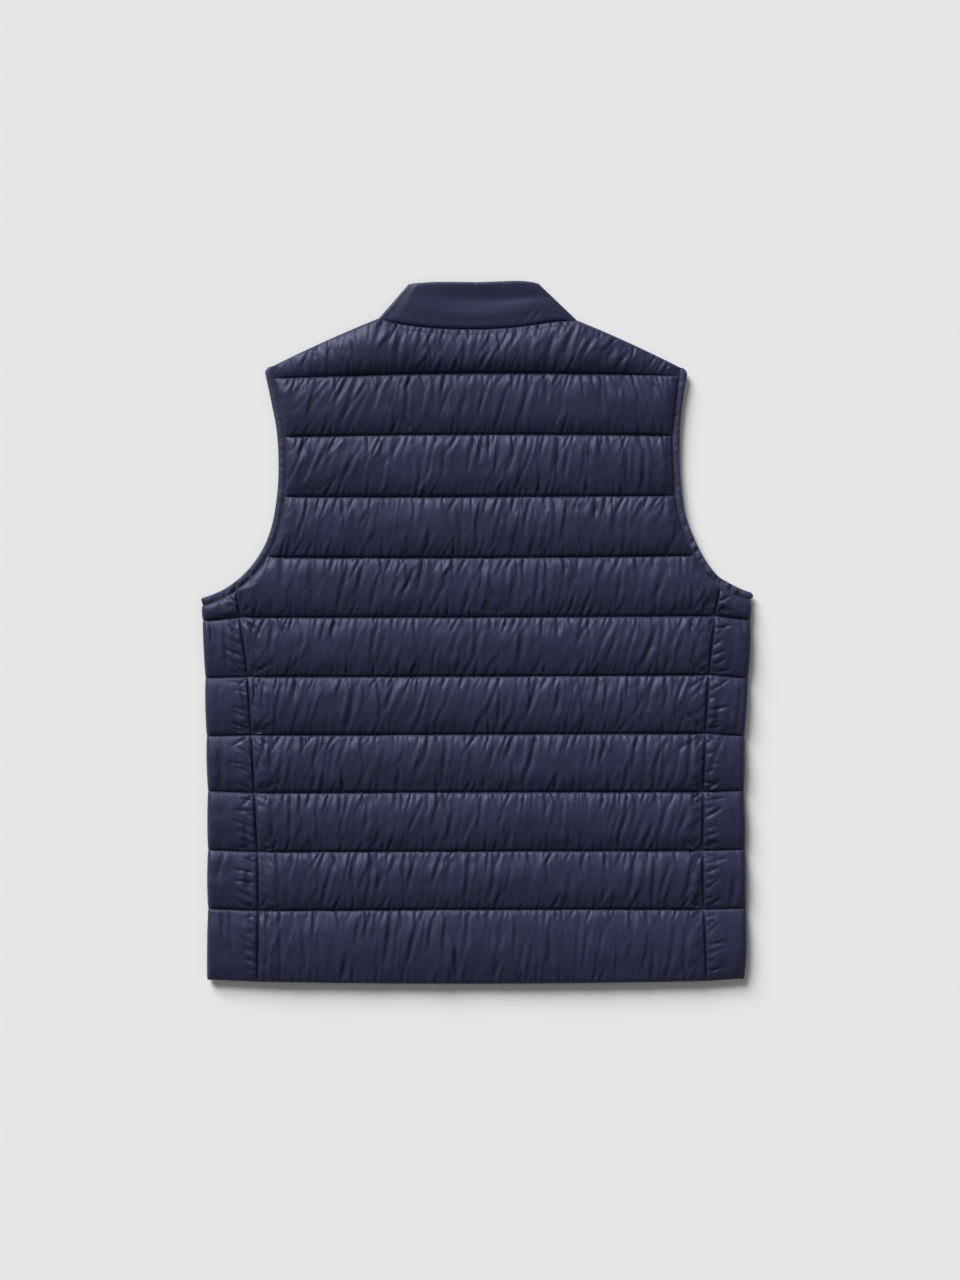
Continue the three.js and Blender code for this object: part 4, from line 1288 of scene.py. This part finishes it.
def make_binding(side):
    """A ribbon folded over the armhole's edge, round both layers and joined end to end."""
    rng = draws("binding_" + side)
    line = ARMHOLES[side]
    length = np.linalg.norm(np.diff(line["edge"], axis=0), axis=1).sum()
    picks = np.linspace(0, len(line["edge"]) - 1, int(length / BINDING_STEP)).astype(int)
    turn = np.linspace(90, -90, 17)[1:-1]
    sections = [(i, 90, 1) for i in picks]
    sections += [(picks[-1], angle, 1) for angle in turn]
    sections += [(i, -90, 1) for i in picks[::-1]]
    sections += [(picks[0], angle, -1) for angle in turn[::-1]]
    h = np.array([0, 0.04, 0.12, 0.24, 0.4, 0.55, 0.7, 0.8, 0.87, 0.94, 1])
    profile = mix(1.0, BINDING_THICKNESS, round_off(h / 0.4))
    profile = profile - 0.9 * smoothstep(0.62, 0.86, h) - 0.3 * smoothstep(0.86, 1, h)
    places = np.arange(len(sections)) * BINDING_STEP
    broad, fine = ripple(places, 5.0, rng), ripple(places, 2.4, rng)
    tucked = np.maximum(h, 0.07)
    rings = np.empty((len(sections), 4 * len(h), 3))
    for k, (i, angle, sign) in enumerate(sections):
        radians = math.radians(angle)
        out = line["along"][i] * sign
        underarm = 1 - smoothstep(0.1, 0.5, i / len(line["edge"]))
        # The upper end is cut along the slope of the shoulder.
        slant = 4.4 * smoothstep(0.96, 1, i / (len(line["edge"]) - 1))
        twisted = np.interp(places[k] + 5 * h, places, broad)
        twisted = twisted + 1.3 * np.interp(places[k] + 3 * h, places, fine)
        pucker = (0.35 + 1.1 * underarm) * twisted * np.sin(np.pi * np.clip(h, 0.04, 1) ** 0.8)
        face = profile + pucker
        # Outside of the ribbon, its inside, and the same of the half that is folded under.
        ribbon = [
            (h, face),
            (tucked[::-1], (face - RIBBON_THICKNESS)[::-1]),
            (tucked, np.full_like(h, RIBBON_THICKNESS)),
            (h[::-1], np.zeros_like(h)),
        ]
        for part, (width, offset) in enumerate(ribbon):
            away = LAYER_GAP / 2 + offset
            points = rings[k, part * len(h) : (part + 1) * len(h)]
            breadth = BINDING_WIDTH + 0.3 * slant
            points[:, :2] = line["edge"][i] + np.outer(width * breadth, line["inward"][i])
            points[:, :2] += np.outer(width * slant, line["along"][i])
            points[:, :2] += np.outer(away * math.cos(radians), out)
            points[:, 2] = MIDDLE_Z + away * math.sin(radians)
    rings[..., 2] = np.maximum(rings[..., 2], 0)
    return rings[: len(picks), BINDING_STITCHED], ring_mesh("binding_" + side, rings, RIBBON, joined=True)


# The zip, between the two fronts.
def make_tape(side):
    """A woven ribbon with a corded inner edge and a slight wave along it."""
    rng = draws("tape_" + side)
    y = np.linspace(ZIP_TAPE["low"], ZIP_TAPE["high"], 420)
    wave = 0.12 * ripple(y, 9, rng)
    across = np.array([0, 0.06, 0.16, 0.26, 0.6, 0.94, 1])
    thick = np.array([0.5, 1.05, 1.15, 0.75, 0.75, 0.75, 0.4])
    rings = np.empty((len(y), 2 * len(across), 3))
    middle = (ZIP_TAPE["bottom"] + ZIP_TAPE["top"]) / 2
    x = OUTWARD[side] * mix(ZIP_TAPE["inner"], ZIP_TAPE["outer"], across)
    for k in range(len(y)):
        for part, sign in ((slice(0, len(across)), 1), (slice(len(across), None), -1)):
            order = slice(None, None, sign)
            rings[k, part, 0] = x[order]
            rings[k, part, 1] = y[k]
            rings[k, part, 2] = middle + (sign * thick / 2 + wave[k] * across * 0.5)[order]
    rings[..., 2] = np.clip(rings[..., 2], ZIP_TAPE["bottom"], ZIP_TAPE["top"])
    return ring_mesh("tape_" + side, rings, TAPE, joined=False)


def tooth(x, y, direction):
    """The rings of one tooth: a foot on the tape, a neck and a head that hooks between its neighbours."""
    middle = (ZIP_CHAIN["bottom"] + ZIP_CHAIN["top"]) / 2
    half_height = (ZIP_CHAIN["top"] - ZIP_CHAIN["bottom"]) / 2
    angle = math.pi / TOOTH_CORNERS + np.arange(TOOTH_CORNERS) * 2 * math.pi / TOOTH_CORNERS
    blunt = 0.5 + 0.5 / np.maximum(np.abs(np.cos(angle)), np.abs(np.sin(angle)))
    along, up = np.cos(angle) * blunt, np.clip(np.sin(angle) * blunt, -1, 1)
    rings = []
    for reach, length, height in zip(*TOOTH.values()):
        across = np.full(TOOTH_CORNERS, x + direction * reach)
        rings.append(np.column_stack([across, y + along * length / 2, middle + up * half_height * height]))
    return np.array(rings)


def make_chain():
    """Two rows of moulded teeth that hook into each other."""
    points, faces = [], []
    half, length = ZIP_CHAIN["width"] / 2, ZIP_CHAIN["high"] - ZIP_CHAIN["low"]
    count = int((length - TOOTH_PITCH) / TOOTH_PITCH)
    step = (length - 1.6) / (2 * count)
    for number in range(2 * count + 1):
        direction = 1 if number % 2 else -1
        rings = tooth(-direction * half, ZIP_CHAIN["low"] + 0.8 + number * step, direction)
        skin = tube_faces(len(rings), TOOTH_CORNERS, number * len(rings) * TOOTH_CORNERS)
        faces += skin if direction > 0 else [face[::-1] for face in skin]
        points.append(rings.reshape(-1, 3))
    return make_piece("chain", np.vstack(points), faces, PLASTIC, sharp=40)


def make_slider():
    """The slider's body: wide above, where the chain divides, and narrower below, with rounded edges."""
    half, low = ZIP_SLIDER["width"] / 2, ZIP_SLIDER["low"]
    length = ZIP_SLIDER["high"] - low
    right = np.column_stack([*SLIDER_OUTLINE.values()])
    outline = np.vstack([right, right[::-1] * (-1, 1)]) * (half, length) + (0, low)
    centre = np.array([0, low + length / 2])
    rings = []
    for z, size in zip(*SLIDER_LEVELS.values()):
        ring = centre + (outline - centre) * size
        rings.append(np.column_stack([ring, np.full(len(ring), z)]))
    return ring_mesh("slider", np.array(rings), METAL, joined=False)


# Stitches.
def stitches(name, lines):
    """One mesh of short threads along lines of points, each lying in the cloth with its ends sunk."""
    sides, rings = 6, 5
    ring = np.linspace(0, 2 * np.pi, sides, endpoint=False)
    along_steps = np.linspace(-1, 1, rings)
    radius = STITCH_RADIUS * np.sqrt(np.clip(1 - (0.97 * along_steps) ** 4, 0, 1))
    drop = -0.35 * along_steps**2
    points, faces = [], []
    for line in lines:
        reach = reach_along(line)
        for at in np.arange(STITCH_PITCH / 2, reach[-1], STITCH_PITCH):
            ends = [np.clip(at + side * STITCH_LENGTH / 2, 0, reach[-1]) for side in (-1, 1)]
            a, b = (np.array([np.interp(end, reach, line[:, k]) for k in range(3)]) for end in ends)
            direction = (b - a) / max(np.linalg.norm(b - a), 1e-6)
            sideways = np.cross([0, 0, 1], direction)
            first = len(points)
            for t, r, d in zip(along_steps, radius, drop):
                middle = mix(a, b, (t + 1) / 2) + np.array([0, 0, d + 0.12])
                for angle in ring:
                    around = math.cos(angle) * sideways + np.array([0, 0, math.sin(angle)])
                    points.append(middle + r * around)
            faces += tube_faces(rings, sides, first)
    return make_piece(name, points, faces, THREAD, sharp=80)


def ride(piece, slot, *nodes):
    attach(piece, "root")
    if nodes:
        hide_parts(*nodes)


back_grid, back = make_back()
ride(back, "shell", "back")
collar = make_collar()
ride(collar, "shell", "collar")
sides, side_grids, fronts, bindings, binding_threads, tapes = {}, {}, {}, {}, {}, {}
for side in ("left", "right"):
    side_grids[side], sides[side] = make_side(side)
    ride(sides[side], "shell", "side_panel_" + side)
    fronts[side] = make_front(side)
    ride(fronts[side], "shell", "front_" + side)
    seam_line, bindings[side] = make_binding(side)
    ride(bindings[side], "binding", "armhole_binding_" + side)
    binding_threads[side] = stitches("binding_stitches_" + side, [seam_line])
    ride(binding_threads[side], "binding")
    tapes[side] = make_tape(side)
    ride(tapes[side], "tape", "zip_tape_" + side)

# The stitches lie on the rows of the finished cloth that are sewn down, and on the row beside the neckline.
line_rows = ROWS_IN_CHANNEL * np.arange(1, CHANNELS)
above_seam = back_grid[::-1, BACK_COLUMNS // 2, 1] - NECKLINE["y"].min() + NECK_TOPSTITCH
neck_row = back_grid[-1 - int(np.argmin(np.abs(above_seam)))]
on_neck = (neck_row[:, 0] > -90) & (neck_row[:, 0] < 94)
back_thread = stitches("back_stitches", [*back_grid[line_rows], neck_row[on_neck]])
ride(back_thread, "shell")
side_threads = {}
for side in ("left", "right"):
    grid = side_grids[side]
    visible = slice(1, int(grid.shape[1] * 0.55))
    rows = 2 * ROWS_IN_CHANNEL * np.arange(1, SIDE_CHANNELS)
    side_threads[side] = stitches("side_stitches_" + side, grid[rows, visible])
    ride(side_threads[side], "shell")

ride(make_chain(), "zip_chain", "zip_chain")
ride(make_slider(), "zip_slider", "zip_slider")

# The floor, the light and the camera.
bpy.ops.mesh.primitive_plane_add(size=8, location=(0, 0, 0))
floor = bpy.context.object
floor.name = "floor"
floor.data.materials.append(FLOOR)


def far_light(name, bearing, elevation, spread, strength):
    """A broad light far away. Its bearing is in degrees to the left of the collar, seen from the vest."""
    light = bpy.data.lights.new(name, "SUN")
    light.angle = math.radians(spread)
    light.energy = strength
    lamp = bpy.data.objects.new(name, light)
    bpy.context.scene.collection.objects.link(lamp)
    lamp.rotation_euler = (math.radians(elevation - 90), 0, math.radians(bearing))


far_light("key", bearing=30, elevation=28, spread=34, strength=5.15)
far_light("fill", bearing=-120, elevation=60, spread=80, strength=0.2)
world = bpy.data.worlds.new("studio")
bpy.context.scene.world = world
world.use_nodes = True
world.node_tree.nodes["Background"].inputs["Color"].default_value = (0.985, 0.985, 0.985, 1)
world.node_tree.nodes["Background"].inputs["Strength"].default_value = 0.16
bpy.context.scene.view_settings.view_transform = "Standard"

CAMERA_HEIGHT = 2.5
FRAME_LENGTH = 1.28
camera_data = bpy.data.cameras.new("camera")
camera_data.sensor_width = 36
camera_data.lens = 36 * CAMERA_HEIGHT / FRAME_LENGTH
camera = bpy.data.objects.new("camera", camera_data)
camera.location = (0.004, -0.0065, CAMERA_HEIGHT + 0.0055)
bpy.context.scene.collection.objects.link(camera)
bpy.context.scene.camera = camera
